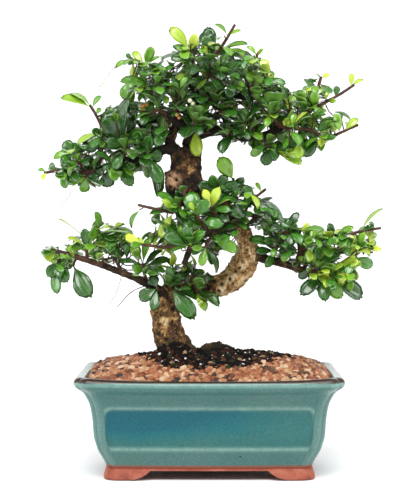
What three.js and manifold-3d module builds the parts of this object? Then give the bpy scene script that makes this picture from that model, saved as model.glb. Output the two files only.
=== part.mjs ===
// Fukien tea bonsai in its glazed rectangular pot, the 8 inch size.
// Millimetres: x to the right of the front, y to the back, z up from the surface under the feet.
import * as THREE from 'three';
import { mergeVertices } from 'three/addons/utils/BufferGeometryUtils.js';
import Module from 'manifold-3d';

const wasm = await Module();
wasm.setup();

// Driving dimensions of the pot
const LIP_LENGTH = 203.2;
const LIP_DEPTH = 152;
const FLOOR_TOP = 15;
const UNDERSIDE = 7.5;
const SIDE_BOW = { long: 2, short: 1 };
// The lip rises towards its corners, in this range of heights
const CORNER_LIFT = { rise: 3, outerFrom: 62, innerFrom: 68, over: 8, sharpness: 6 };
// Dents of the corners, which widen to the lip in this range of heights
const CORNER_NOTCH = { lip: 6.4, body: 5.4, from: 62, over: 8 };
const GAP = 0.3;
const WALL_GAP = 0.4;

// Wall profiles of the pot as [height, inset from the lip's outline]
const OUTER_WALL = [
  [7.5, 25], [9.5, 23.5], [16.2, 20.9], [23.6, 17.1], [31, 14.5], [46, 13.3], [56, 11.8], [62, 9.6],
  [67, 5.8], [70, 1.2], [73.5, 0], [77.5, 2],
];
const INNER_WALL = [[15, 29], [38, 19.5], [60, 15.5], [72, 9.6], [77, 7.4]];
const PANEL = { low: 25, high: 54.5, longHalf: 78, shortHalf: 52, recess: 1, corner: 6 };
const FOOT = {
  footInset: 22.6, topInset: 22.4, bulge: 1.2, bulgeHeight: 2.6, topHeight: 7, seatInset: 25, seatHeight: 10,
  width: 10, longGap: 44, shortGap: 26, rise: 17,
};
const DRAIN_HOLE = { radius: 7, spread: 42 };
const SCREEN = { side: 26, thickness: 1.2, bar: 2, cells: 2 };

// Growing medium: the gravel rises from the rim to the foot of the trunk, with a bare patch of soil
const SOIL_LEVEL = 64;
const MOUND = { rim: 71.4, rise: 20, halfLength: 97, halfDepth: 70 };
const BARE_PATCH = { x: 4, y: 1, halfLength: 54, halfDepth: 37, threefold: 0.05, fivefold: 0.04 };
const SOIL_RELIEF = { sink: 0.8, rise: 1.2 };
const GRAVEL = {
  rimInset: 11, lowInset: 16, rimHeight: 72.4, squareness: 5, spokes: 44, steps: 7, relief: 1.5,
};

// Ribs of old wood, as a share of its radius, on limbs with at least this many sides
const RIB_DEPTH = 0.09;
const RIBBED_SIDES = 10;

// Foliage
const TWIG = { sides: 3, root: 1.5, end: 1.1 };
const NECK_DEPTH = 0.93;
const DEPTH_SPREAD = 16;
const BLADE = { thickness: 0.7, slimmest: 0.4, arch: 0.07, clearance: 0.25 };

// A blade's half outline as [share of length, share of width], from its neck to its toothed tip
const LARGE_OUTLINE = [[0.6, 0.5], [0.84, 0.45], [0.88, 0.27]];
const MEDIUM_OUTLINE = [[0.62, 0.5], [0.87, 0.38]];
const SMALL_OUTLINE = [[0.65, 0.5]];
const LARGE_BLADE = 22;
const SPIRAL_TURN = THREE.MathUtils.degToRad(137.5);
const SMALL_BLADE = 9.5;

// The front view in which wood and leaves are laid out: column and row of a 415 by 500 field,
// seen from an eye at this distance and height, plus the depth in millimetres behind the pot's middle
const VIEW = { distance: 1326, focal: 1712, middleColumn: 209.3, eyeRow: 209, eyeHeight: 203 };

// Wood as tapering limbs: points of [column, row, depth, radius in mm]
const LIMBS = {
  trunk: {
    sides: 10,
    route: [
      [178, 386, 2, 12], [177, 362, 1, 15], [175, 351, 0, 14], [170, 339, -1, 12.4],
      [166, 326, -2, 11.2], [165, 312, -2, 10.2], [167, 299, -1, 9], [175, 289, 1, 7.8],
      [188, 285, 3, 7.2], [203, 286, 4, 7.6], [219, 286, 4, 8.6], [233, 279, 3, 9.4], [243, 267, 1, 9.2],
      [248, 254, -1, 7.8], [245, 240, -2, 6.4], [236, 225, -3, 6.2], [222, 211, -5, 6.8],
      [207, 200, -8, 7.8], [194, 190, -10, 9.6], [186, 176, -10, 11.4], [186, 162, -8, 11.4],
      [187, 149, -7, 9.6],
    ],
  },
  root_right: {
    sides: 5,
    route: [
      [180, 355, 0, 8], [198, 355, 5, 5.5], [212, 350, 9, 5.5], [224, 351, 12, 5], [238, 358, 12, 4],
      [248, 368, 10, 2.5],
    ],
  },
  root_front: {
    sides: 5,
    route: [
      [174, 352, -2, 8], [168, 354, -14, 6], [162, 360, -22, 4], [158, 370, -28, 2.5],
    ],
  },
  root_left: {
    sides: 5,
    route: [
      [172, 352, 0, 8], [160, 360, -3, 5.5], [150, 367, -4, 4], [142, 375, -4, 2.5],
    ],
  },
  root_back: {
    sides: 5,
    route: [
      [178, 352, 4, 8], [182, 354, 18, 6], [187, 359, 28, 4], [190, 370, 34, 2.5],
    ],
  },
  leader_left: {
    sides: 5,
    route: [
      [177, 154, -7, 5.4], [172, 145, -7, 4.4], [171, 136, -6, 4.2], [177, 126, -3, 3.6], [191, 115, 0, 3],
    ],
  },
  leader: {
    sides: 7,
    route: [
      [190, 153, -5, 6], [190, 138, -3, 5], [192, 120, 0, 4.2], [193, 100, 1, 3.6], [195, 82, 1, 3],
      [197, 67, 0, 2.3],
    ],
  },
  low_left: {
    sides: 6,
    route: [
      [167, 297, -3, 5], [155, 288, -7, 3.8], [140, 280, -11, 3.1], [120, 272, -13, 2.7],
      [102, 265, -13, 2.4],
    ],
  },
  low_right: {
    sides: 6,
    route: [
      [248, 252, 0, 5], [262, 258, -2, 4], [278, 262, -4, 3.2], [296, 268, -6, 2.9], [311, 274, -8, 2.5],
    ],
  },
  low_right_up: {
    sides: 5,
    route: [
      [297, 268, -6, 2.6], [299, 256, -6, 2.3],
    ],
  },
  centre_front: {
    sides: 6,
    route: [
      [238, 228, -4, 4.5], [222, 227, -18, 3.6], [206, 232, -28, 3], [193, 243, -33, 2.6],
      [188, 254, -34, 2.4], [184, 264, -34, 2.2],
    ],
  },
  centre_back: {
    sides: 5,
    route: [
      [236, 225, -2, 4.2], [231, 216, 16, 3.2], [222, 204, 32, 2.2],
    ],
  },
  centre_stub: {
    sides: 5,
    route: [
      [236, 220, -3, 3.2], [246, 214, -2, 2.4], [257, 217, -2, 2],
    ],
  },
  upper_left: {
    sides: 6,
    route: [
      [184, 155, -7, 5], [168, 149, -10, 4.3], [152, 154, -10, 3.5], [137, 159, -9, 3.2],
      [122, 161, -8, 2.9], [108, 166, -8, 2.5], [97, 170, -8, 2.3],
    ],
  },
  upper_right: {
    sides: 6,
    route: [
      [190, 139, -3, 4.4], [206, 133, -6, 3.9], [224, 131, -9, 3.5], [243, 137, -11, 3.2],
      [262, 136, -11, 2.9], [280, 128, -10, 2.6], [296, 120, -9, 2.4],
    ],
  },
  upper_right_stub: {
    sides: 5,
    route: [
      [266, 136, -11, 2.3], [273, 149, -10, 2], [274, 161, -10, 1.9],
    ],
  },
  upper_right_back: {
    sides: 5,
    route: [
      [224, 131, -9, 3], [244, 124, 14, 2.5], [266, 118, 26, 2.1],
    ],
  },
  crown_left: {
    sides: 6,
    route: [
      [193, 104, 1, 3.2], [180, 95, -4, 2.8], [167, 84, -6, 2.6],
    ],
  },
  crown_left_back: {
    sides: 5,
    route: [
      [192, 128, 0, 3.4], [175, 116, 20, 2.6], [160, 106, 32, 2],
    ],
  },
  crown_front: {
    sides: 5,
    route: [
      [191, 133, -2, 3.6], [180, 124, -16, 2.8], [166, 114, -26, 2.1],
    ],
  },
  crown_right: {
    sides: 6,
    route: [
      [193, 110, 1, 3.2], [210, 99, -4, 2.8], [230, 95, -8, 2.4], [252, 99, -9, 2.1],
    ],
  },
  crown_right_back: {
    sides: 5,
    route: [
      [193, 114, 1, 3.2], [210, 103, 22, 2.4], [228, 92, 34, 1.9],
    ],
  },
};

// Sprays: the routes of their twigs, then leaves as [twig, share of its run, column, row and depth
// of the tip, width seen in columns, tone], and leaves left to a rule as [how many, mm long, tone]
const SPRAYS = {
  low_left_outer: {
    twigs: [
      [[103, 265, -13, 2.7], [80, 258, -12, 2.4], [62, 253, -11, 2.1], [51, 250, -10, 1.8]],
      [[62, 254, -11], [60, 258, -16], [58, 262, -19]],
      [[77, 257, -12], [74, 262, -15], [73, 266, -17]],
      [[87, 259, -12], [87, 250, -12], [89, 242, -12], [95, 236, -12], [100, 232, -14]],
    ],
    leaves: [
      [1, 0.8, 43, 250, -25, 13, 1], [1, 1, 47, 277, -27, 13, 1], [1, 1, 68, 283, -20, 14, 0],
      [1, 0.9, 57, 295, -24, 12, 1], [2, 1, 92, 298, -20, 20, 0], [2, 0.8, 66, 266, -26, 8, 1],
      [3, 0.3, 84, 228, -18, 10, 1], [3, 0.4, 97, 225, -17, 10, 2], [3, 0.45, 56, 219, -14, 4, 2],
      [3, 0.3, 68, 236, -20, 5, 3], [3, 0.25, 65, 249, -16, 4, 2], [3, 0.45, 107, 245, -20, 4, 2],
      [3, 0.12, 96, 252, -18, 6, 1], [3, 1, 95, 211, -14, 5, 2], [3, 1, 134, 231, -16, 5, 2],
      [3, 0.95, 116, 241, -20, 6, 1],
    ],
  },
  right_rise: {
    twigs: [
      [[299, 257, -6, 2.3], [300, 250, -6, 2.1], [299, 236, -5, 1.5]],
      [[299, 237, -5], [300, 230, -7]],
      [[301, 250, -6], [312, 249, -8], [327, 244, -9], [345, 236, -10], [362, 231, -9], [381, 228, -8]],
    ],
    leaves: [
      [1, 1, 310, 225, -10, 9, 3], [1, 0.9, 325, 229, -12, 7, 2], [1, 0.9, 291, 226, -12, 8, 0],
      [1, 0.3, 314, 243, -14, 9, 2], [2, 0.5, 354, 227, -15, 7, 2],
      [2, 0.45, 328, 223, -15, 7, 0], [2, 0.5, 344, 229, -18, 6, 1], [2, 0.78, 385, 209, -10, 5, 2],
      [2, 0.78, 375, 227, -14, 6, 0], [2, 0.2, 304, 262, -14, 9, 0],
    ],
  },
  right_outer: {
    twigs: [
      [[309, 273, -8, 2.5], [330, 270, -10, 1.9]],
      [[330, 269, -10], [342, 263, -11], [352, 256, -12], [359, 251, -12], [371, 247, -12]],
      [[321, 272, -9], [326, 276, -15]],
      [[313, 273, -8], [314, 266, -15]],
    ],
    leaves: [
      [1, 1, 374, 237, -14, 6, 3], [1, 1, 362, 242, -16, 6, 3], [1, 1, 382, 250, -14, 6, 3],
      [1, 0.1, 360, 261, -20, 8, 3], [1, 0.45, 374, 266, -16, 12, 1], [1, 0.15, 356, 277, -17, 8, 0],
      [1, 0.5, 344, 249, -17, 8, 1], [2, 1, 364, 298, -19, 15, 0], [2, 1, 325, 301, -24, 14, 0],
      [2, 1, 342, 299, -17, 14, 1], [2, 0.8, 300, 295, -20, 12, 0], [3, 0.6, 298, 278, -16, 9, 0],
      [3, 1, 303, 256, -19, 9, 0], [3, 1, 322, 261, -22, 8, 2], [3, 1, 340, 254, -19, 8, 1],
    ],
  },
  left_outer: {
    twigs: [
      [[98, 170, -8, 2.3], [90, 172, -8, 2.1], [82, 173, -8, 1.8]],
      [[83, 173, -8], [70, 172, -9], [58, 171, -9], [44, 173, -9]],
      [[84, 173, -8], [79, 162, -9], [75, 152, -10]],
      [[89, 172, -8], [86, 177, -13]],
    ],
    leaves: [
      [1, 0.7, 50, 163, -12, 7, 1],
      [1, 0.5, 66, 189, -14, 9, 1], [1, 0.3, 60, 176, -19, 8, 0], [2, 1, 63, 142, -13, 13, 0],
      [2, 0.95, 53, 158, -14, 7, 2], [2, 0.9, 90, 144, -12, 8, 1], [2, 0.5, 94, 158, -14, 9, 0],
      [2, 0.6, 60, 166, -15, 9, 1], [3, 1, 69, 181, -18, 11, 2], [3, 1, 83, 193, -17, 11, 1],
      [3, 0.8, 100, 179, -15, 8, 0],
    ],
  },
  crown_left_outer: {
    twigs: [
      [[168, 85, -6, 2.6], [151, 72, -7, 2.2]],
      [[154, 74, -6.5], [143, 65, -8], [130, 59, -9]],
      [[163, 82, -6], [158, 87, -14], [152, 87, -18]],
    ],
    leaves: [
      [1, 1, 115, 68, -10, 7, 2], [1, 0.45, 133, 51, -10, 7, 2],
      [1, 0.4, 152, 46, -12, 10, 2], [1, 0.35, 159, 57, -14, 5, 2], [1, 0.1, 136, 72, -17, 9, 0],
      [2, 1, 120, 80, -22, 11, 2], [2, 0.9, 126, 92, -23, 8, 1], [2, 0.8, 140, 103, -22, 8, 0],
      [2, 0.4, 178, 100, -22, 9, 0], [2, 0.6, 158, 68, -20, 10, 0],
    ],
  },
  far_right_tips: {
    twigs: [
      [[295, 121, -9, 2.4], [309, 111, -9, 1.9]],
      [[309, 111, -9], [318, 106, -10], [330, 100, -11], [342, 93, -11], [354, 85, -11]],
      [[308, 112, -8], [315, 98, -6], [319, 84, -5], [321, 77, -5]],
    ],
    leaves: [
      [1, 1, 352, 73, -12, 6, 3], [1, 0.6, 337, 86, -13, 7, 1],
      [1, 0.1, 302, 97, -14, 9, 0], [1, 0.15, 313, 90, -14, 11, 2],
      [1, 0.25, 303, 78, -11, 8, 0], 
      [2, 0.4, 330, 92, -5, 6, 1], [2, 0.1, 322, 112, -2, 9, 0],
    ],
  },
  low_left_inner: {
    twigs: [
      [[149, 285, -9], [145, 275, -12], [143, 264, -14]],
    ],
    leaves: [
      [0, 1, 116, 260, -16, 5, 1], [0, 1, 151, 237, -18, 6, 2], [0, 0.9, 163, 251, -20, 8, 0],
      [0, 0.8, 170, 259, -15, 6, 1], [0, 0.7, 132, 268, -19, 11, 1], [0, 0.6, 158, 273, -21, 6, 1],
      [0, 0.3, 127, 287, -16, 6, 1],
    ],
  },
  low_left_back: {
    twigs: [
      [[122, 272, -12], [117, 263, 4], [112, 256, 18]],
    ],
    more: [3, 21, 1],
  },
  low_mid_left: {
    twigs: [
      [[160, 292, -6], [157, 288, -14]],
    ],
    leaves: [
      [0, 1, 139, 300, -21, 14, 0], [0, 1, 153, 312, -22, 10, 0], [0, 0.9, 151, 276, -18, 12, 0],
    ],
  },
  low_mid: {
    twigs: [
      [[173, 290, -3], [170, 287, -13]],
    ],
    leaves: [
      [0, 1, 195, 319, -24, 17, 0], [0, 0.9, 199, 300, -17, 10, 0], [0, 1, 168, 266, -17, 10, 1],
      [0, 0.8, 181, 274, -14, 8, 1],
    ],
  },
  low_mid_right: {
    twigs: [
      [[192, 285, -2], [195, 291, -10]],
    ],
    leaves: [
      [0, 0.9, 202, 272, -14, 9, 0], [0, 1, 220, 305, -15, 9, 0], [0, 1, 206, 311, -17, 9, 2],
    ],
  },
  low_mid_back: {
    twigs: [
      [[184, 285, 6], [186, 278, 20]],
    ],
    more: [3, 20, 0],
  },
  centre_rosette: {
    twigs: [
      [[190, 251, -33], [189, 246, -39]],
    ],
    leaves: [
      [0, 1, 148, 219, -43, 9, 1], [0, 1, 163, 236, -46, 10, 0], [0, 1, 187, 224, -46, 12, 1],
      [0, 1, 207, 231, -45, 9, 1], [0, 0.8, 168, 253, -44, 6, 1], [0, 1, 203, 249, -47, 8, 2],
    ],
  },
  centre_left: {
    twigs: [
      [[187, 187, -20], [181, 200, -26], [174, 212, -29], [160, 210, -29], [138, 205, -27]],
    ],
    leaves: [
      [0, 0.35, 156, 194, -35, 9, 1], [0, 0.25, 176, 191, -33, 8, 0], [0, 0.5, 162, 200, -38, 8, 3],
      [0, 0.5, 150, 214, -33, 6, 1], [0, 0.45, 186, 226, -37, 9, 0], [0, 0.5, 160, 239, -36, 11, 2],
    ],
  },
  centre_thin: {
    twigs: [
      [[193, 243, -33], [178, 246, -30], [163, 247, -29], [138, 244, -28]],
    ],
    leaves: [
      [0, 1, 124, 235, -28, 9, 3], [0, 0.95, 129, 246, -31, 6, 2], [0, 0.9, 137, 237, -31, 5, 2],
    ],
  },
  centre_big: {
    twigs: [
      [[206, 232, -28], [202, 222, -35], [196, 216, -40]],
    ],
    leaves: [
      [0, 1, 189, 191, -45, 16, 1], [0, 0.9, 207, 199, -45, 13, 1], [0, 0.5, 222, 224, -44, 11, 1],
      [0, 0.3, 176, 232, -36, 9, 1],
    ],
  },
  centre_young: {
    twigs: [
      [[222, 227, -20], [216, 216, -28], [211, 207, -33]],
    ],
    leaves: [
      [0, 1, 203, 189, -36, 9, 3], [0, 1, 219, 187, -36, 9, 3], [0, 0.9, 232, 211, -38, 8, 1],
      [0, 0.8, 197, 209, -38, 8, 0], [0, 0.6, 229, 221, -36, 10, 0],
    ],
  },
  centre_top: {
    twigs: [
      [[221, 210, -10], [218, 199, -15], [216, 190, -17]],
    ],
    leaves: [
      [0, 1, 197, 185, -21, 13, 0], [0, 1, 211, 174, -24, 11, 0], [0, 1, 227, 175, -22, 11, 0],
      [0, 0.9, 240, 184, -24, 12, 0], [0, 0.7, 205, 197, -27, 10, 0], [0, 0.8, 231, 198, -27, 9, 1],
    ],
  },
  centre_pale: {
    twigs: [
      [[234, 222, -6], [237, 205, -7], [235, 190, -8], [233, 178, -9]],
    ],
    leaves: [
      [0, 1, 219, 157, -11, 16, 2], [0, 0.85, 254, 195, -13, 8, 0], [0, 0.8, 244, 178, -8, 9, 0],
      [0, 0.3, 247, 224, -10, 6, 3],
    ],
  },
  centre_right: {
    twigs: [
      [[238, 227, -3], [245, 212, -6], [250, 202, -5], [266, 189, -3]],
    ],
    leaves: [
      [0, 0.6, 266, 207, -9, 7, 0], [0, 0.35, 232, 214, -15, 14, 0], [0, 0.9, 256, 182, -6, 4, 2],
      [0, 0.5, 234, 203, -14, 11, 0], [0, 0.15, 224, 240, -14, 10, 1],
    ],
  },
  centre_low: {
    twigs: [
      [[215, 229, -24], [210, 239, -29], [205, 248, -31]],
    ],
    leaves: [
      [0, 1, 214, 265, -33, 9, 0], [0, 0.9, 217, 275, -28, 9, 0], [0, 1, 201, 267, -36, 9, 2],
      [0, 0.5, 239, 251, -33, 11, 1], [0, 0.9, 192, 254, -40, 7, 1],
    ],
  },
  centre_back_up: {
    twigs: [
      [[222, 204, 32], [214, 197, 38]],
      [[226, 208, 26], [232, 196, 34]],
    ],
    more: [3, 21, 0],
  },
  centre_back_low: {
    twigs: [
      [[232, 218, 14], [224, 228, 26], [214, 236, 32]],
    ],
    more: [3, 21, 0],
  },
  centre_back_right: {
    twigs: [
      [[240, 231, 2], [250, 222, 16], [258, 214, 24]],
    ],
    more: [3, 20, 0],
  },
  right_long: {
    twigs: [
      [[271, 260, -3], [276, 250, -8], [281, 240, -9], [288, 227, -9]],
    ],
    leaves: [
      [0, 1, 265, 199, -12, 9, 0], [0, 1, 299, 212, -11, 8, 0], [0, 1, 268, 228, -14, 7, 0],
      [0, 0.95, 299, 237, -17, 8, 0], [0, 0.3, 254, 252, -12, 7, 0], [0, 0.25, 266, 267, -14, 9, 1],
      [0, 0.3, 297, 250, -18, 12, 0], [0, 0.4, 249, 237, -13, 8, 1], [0, 0.6, 263, 240, -17, 8, 0],
    ],
  },
  right_back: {
    twigs: [
      [[302, 270, -6], [308, 263, 10], [318, 256, 22]],
      [[306, 266, 4], [300, 256, 18]],
    ],
    more: [3, 21, 0],
  },
  right_back_low: {
    twigs: [
      [[278, 262, -3], [282, 256, 12], [287, 250, 24]],
    ],
    more: [3, 20, 0],
  },
  left_tower: {
    twigs: [
      [[97, 170, -8], [101, 157, -8], [102, 140, -7], [101, 126, -6], [96, 115, -6], [90, 105, -6]],
    ],
    leaves: [
      [0, 1, 60, 98, -8, 8, 2], [0, 1, 71, 91, -5, 4, 2], [0, 1, 102, 96, -8, 5, 2],
      [0, 0.55, 119, 127, -12, 9, 0], [0, 0.5, 91, 131, -14, 8, 0],
      [0, 0.5, 77, 143, -12, 8, 2], [0, 0.4, 116, 149, -16, 10, 0], [0, 0.35, 87, 151, -15, 8, 1],
    ],
  },
  left_big: {
    twigs: [
      [[125, 160, -8], [124, 151, -14], [124, 144, -17]],
    ],
    leaves: [
      [0, 1, 104, 112, -25, 22, 0], [0, 1, 127, 97, -22, 13, 0], [0, 1, 136, 104, -17, 12, 0],
      [0, 0.9, 144, 132, -24, 13, 1], [0, 0.8, 106, 141, -22, 12, 0], [0, 0.6, 136, 156, -24, 9, 1],
    ],
  },
  left_down: {
    twigs: [
      [[109, 166, -8], [107, 169, -13]],
    ],
    leaves: [
      [0, 1, 107, 188, -16, 15, 0], [0, 0.9, 95, 176, -18, 9, 0],
    ],
  },
  left_down_inner: {
    twigs: [
      [[123, 161, -8], [121, 165, -14]],
    ],
    leaves: [
      [0, 1, 132, 186, -18, 13, 0], [0, 0.9, 113, 174, -19, 12, 0], [0, 0.7, 137, 168, -18, 9, 1],
    ],
  },
  left_near: {
    twigs: [
      [[151, 154, -10], [146, 156, -18]],
    ],
    leaves: [
      [0, 1, 163, 185, -22, 13, 0], [0, 0.8, 157, 198, -16, 13, 0], [0, 0.8, 163, 156, -22, 14, 0],
      [0, 1, 150, 134, -22, 12, 1], [0, 1, 134, 148, -26, 10, 1],
    ],
  },
  left_back_near: {
    twigs: [
      [[138, 159, -7], [131, 151, 8], [122, 143, 22]],
      [[134, 155, 0], [146, 146, 18]],
    ],
    more: [3, 22, 0],
  },
  left_back_far: {
    twigs: [
      [[100, 169, -6], [94, 161, 8], [85, 154, 20]],
      [[97, 165, 0], [104, 156, 14]],
    ],
    more: [3, 21, 0],
  },
  crown_top_left: {
    twigs: [
      [[196, 70, -1], [192, 60, -6], [190, 51, -8]],
    ],
    leaves: [
      [0, 1, 170, 27, -11, 10, 2], [0, 1, 195, 34, -10, 10, 3], [0, 0.9, 174, 46, -8, 6, 1],
      [0, 0.6, 170, 60, -12, 10, 0], [0, 0.5, 184, 74, -16, 10, 1],
    ],
  },
  crown_top: {
    twigs: [
      [[197, 67, 0], [206, 60, -2], [217, 53, -4], [226, 40, -4], [235, 25, -4]],
    ],
    leaves: [
      [0, 0.5, 201, 36, -9, 9, 1], [0, 0.45, 207, 27, -4, 14, 0], [0, 0.8, 215, 23, -4, 4, 2],
      [0, 0.8, 241, 30, -6, 4, 2], [0, 0.5, 236, 53, -9, 8, 1], [0, 0.5, 249, 46, -5, 4, 2],
      [0, 0.25, 222, 70, -12, 12, 0],
    ],
  },
  crown_mid: {
    twigs: [
      [[195, 85, 0], [204, 80, -12], [213, 76, -20]],
    ],
    leaves: [
      [0, 1, 240, 62, -22, 14, 0], [0, 0.9, 222, 90, -27, 10, 1], [0, 0.8, 200, 60, -22, 11, 0],
      [0, 0.6, 190, 84, -27, 11, 1], [0, 0.9, 228, 75, -28, 11, 0],
    ],
  },
  crown_right_a: {
    twigs: [
      [[251, 99, -9], [249, 88, -10], [245, 78, -10]],
    ],
    leaves: [
      [0, 1, 236, 68, -12, 9, 0], [0, 1, 264, 80, -13, 9, 2], [0, 0.7, 232, 88, -16, 10, 1],
      [0, 0.95, 244, 67, -8, 6, 2],
    ],
  },
  crown_right_b: {
    twigs: [
      [[246, 98, -9], [255, 84, -4], [256, 68, -4], [257, 54, -4]],
    ],
    leaves: [
      [0, 0.75, 232, 55, -8, 6, 1], [0, 1, 247, 46, -4, 4, 2], 
      [0, 0.3, 272, 92, -8, 10, 0],
    ],
  },
  crown_right_c: {
    twigs: [
      [[252, 99, -9], [264, 96, -10], [265, 84, -10], [266, 72, -10]],
    ],
    leaves: [
      [0, 1, 262, 59, -11, 12, 3], [0, 0.7, 286, 83, -13, 6, 1], 
      [0, 0.3, 284, 98, -14, 10, 0], [0, 0.3, 258, 112, -17, 11, 1],
    ],
  },
  crown_front_a: {
    twigs: [
      [[166, 114, -26], [158, 110, -32]],
      [[172, 118, -22], [178, 106, -34]],
    ],
    more: [3, 22, 0],
  },
  crown_front_b: {
    twigs: [
      [[192, 126, -1], [196, 132, -16], [194, 124, -30]],
    ],
    leaves: [
      [0, 0.35, 199, 157, -14, 14, 2],
    ],
    more: [3, 21, 0],
  },
  crown_front_c: {
    twigs: [
      [[211, 99, -4], [215, 106, -20], [222, 112, -30]],
      [[213, 102, -12], [206, 96, -28]],
    ],
    more: [3, 22, 0],
  },
  crown_back_left: {
    twigs: [
      [[160, 106, 32], [152, 98, 36]],
      [[168, 111, 27], [176, 98, 36]],
    ],
    more: [3, 22, 0],
  },
  crown_back_right: {
    twigs: [
      [[228, 92, 34], [238, 84, 38]],
      [[220, 97, 29], [214, 84, 36]],
    ],
    more: [3, 22, 0],
  },
  crown_back_top: {
    twigs: [
      [[196, 76, 1], [192, 66, 16], [186, 58, 24]],
      [[194, 71, 9], [206, 62, 22]],
    ],
    more: [3, 21, 0],
  },
  far_right_mid: {
    twigs: [
      [[288, 125, -10], [289, 114, -14], [289, 104, -12]],
    ],
    leaves: [
      [0, 1, 282, 87, -13, 9, 0], [0, 0.9, 297, 97, -12, 6, 2], [0, 0.7, 280, 100, -16, 9, 3],
      [0, 0.6, 268, 97, -16, 10, 0], [0, 0.4, 285, 128, -20, 10, 3],
    ],
  },
  far_right_low: {
    twigs: [
      [
        [284, 126, -10], [299, 129, -15], [312, 131, -14], [325, 139, -13], [340, 133, -13], [358, 125, -12],
      ],
    ],
    leaves: [
      [0, 0.8, 334, 113, -15, 9, 2], [0, 0.84, 358, 118, -13, 7, 2], [0, 0.45, 332, 117, -18, 11, 1],
      [0, 0.48, 303, 157, -16, 14, 0], [0, 0.6, 321, 152, -14, 6, 2], [0, 0.4, 286, 147, -18, 11, 0],
      [0, 0.56, 336, 137, -19, 7, 1],
    ],
  },
  right_under: {
    twigs: [
      [[262, 137, -11], [268, 146, -15], [277, 151, -17]],
    ],
    leaves: [
      [0, 1, 302, 165, -20, 10, 2], [0, 0.7, 264, 166, -20, 13, 0], [0, 0.4, 250, 156, -17, 9, 2],
      [0, 0.9, 290, 148, -24, 9, 0],
    ],
  },
  right_front: {
    twigs: [
      [[243, 137, -11], [240, 130, -22], [246, 124, -29]],
      [[241, 133, -17], [230, 134, -28]],
    ],
    more: [3, 22, 0],
  },
  right_front_far: {
    twigs: [
      [[280, 128, -10], [276, 122, -21], [272, 116, -27]],
      [[278, 125, -15], [290, 130, -26]],
    ],
    more: [3, 22, 1],
  },
  right_back_top: {
    twigs: [
      [[266, 118, 26], [276, 112, 30]],
      [[256, 121, 20], [252, 108, 30]],
    ],
    more: [3, 22, 0],
  },
  right_back_far: {
    twigs: [
      [[290, 123, -9], [294, 117, 8], [300, 108, 20]],
      [[294, 117, 7], [306, 118, 18]],
    ],
    more: [3, 21, 0],
  },
};

const FINISH = {
  pot: { color: '#2d7d7d', roughness: 0.25 },
  soil: { color: '#2a1c18', roughness: 0.95 },
  gravel: { color: '#c08468', roughness: 0.9 },
  screen: { color: '#1d1f20', roughness: 0.6 },
  bark: { color: '#6b4a2a', roughness: 0.85 },
};
const LEAF_GREENS = ['#1f6a24', '#3a8428', '#5fa02c', '#a4bf4a'];

/** Seeded draws between 0 and 1 (mulberry32). */
function seededDraws(seed) {
  let state = seed;
  return () => {
    state = (state + 0x6d2b79f5) | 0;
    let mixed = Math.imul(state ^ (state >>> 15), 1 | state);
    mixed = (mixed + Math.imul(mixed ^ (mixed >>> 7), 61 | mixed)) ^ mixed;
    return ((mixed ^ (mixed >>> 14)) >>> 0) / 4294967296;
  };
}

/** The point in space behind a column and row of the front view, at a given depth. */
function seen([column, row, depth]) {
  const scale = (VIEW.distance + depth) / VIEW.focal;
  const x = (column - VIEW.middleColumn) * scale;
  return new THREE.Vector3(x, depth, VIEW.eyeHeight - (row - VIEW.eyeRow) * scale);
}

/** A closed surface through rings of points; the ends are capped, or joined where it runs round. */
function loft(rings, joined = false) {
  const count = rings[0].length;
  const points = rings.flat();
  const faces = [];
  const last = joined ? rings.length : rings.length - 1;
  for (let ring = 0; ring < last; ring += 1) {
    const low = ring * count;
    const high = ((ring + 1) % rings.length) * count;
    for (let i = 0; i < count; i += 1) {
      const next = (i + 1) % count;
      faces.push([low + i, low + next, high + next], [low + i, high + next, high + i]);
    }
  }
  if (!joined) {
    capEnd(points, faces, 0, count, true);
    capEnd(points, faces, (rings.length - 1) * count, count, false);
  }
  return { points, faces };
}

/** Closes one end of a loft: flat fans for thin tubes, a fan round the middle for wide rings. */
function capEnd(points, faces, start, count, flipped) {
  const corners = Array.from({ length: count }, (_, i) => start + i);
  let fan = [];
  if (count <= 12) {
    fan = corners.slice(1, -1).map((corner, i) => [start, corner, corners[i + 2]]);
  } else {
    const middle = new THREE.Vector3();
    corners.forEach((corner) => middle.add(points[corner]));
    points.push(middle.divideScalar(count));
    const hub = points.length - 1;
    fan = corners.map((corner, i) => [hub, corner, corners[(i + 1) % count]]);
  }
  fan.forEach(([a, b, c]) => faces.push(flipped ? [a, c, b] : [a, b, c]));
}

/** A solid for joining and cutting, from a surface of points and faces. */
function toSolid({ points, faces }) {
  const vertProperties = new Float32Array(points.flatMap((point) => point.toArray()));
  const triVerts = new Uint32Array(faces.flat());
  return new wasm.Manifold(new wasm.Mesh({ numProp: 3, vertProperties, triVerts }));
}

/** A solid from one of the library's own geometries. */
function geometrySolid(geometry) {
  const bare = geometry.clone();
  bare.deleteAttribute('normal');
  bare.deleteAttribute('uv');
  const merged = mergeVertices(bare, 1e-4);
  const vertProperties = new Float32Array(merged.getAttribute('position').array);
  const triVerts = new Uint32Array(merged.getIndex().array);
  return new wasm.Manifold(new wasm.Mesh({ numProp: 3, vertProperties, triVerts }));
}

/** The largest body of a solid, without loose scraps or sealed hollows. */
function mainBody(solid) {
  const bodies = solid.decompose();
  return bodies.reduce((best, body) => (body.volume() > best.volume() ? body : best));
}

function joinAll(solids) {
  return solids.reduce((sum, solid) => sum.add(solid));
}

function makePiece(name, solid, finish) {
  const mesh = solid.getMesh();
  const geometry = new THREE.BufferGeometry();
  geometry.setAttribute('position', new THREE.BufferAttribute(mesh.vertProperties, 3));
  geometry.setIndex(new THREE.BufferAttribute(mesh.triVerts, 1));
  geometry.computeVertexNormals();
  const material = new THREE.MeshStandardMaterial({ metalness: 0, ...finish });
  const piece = new THREE.Mesh(geometry, material);
  piece.name = name;
  return piece;
}

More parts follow.
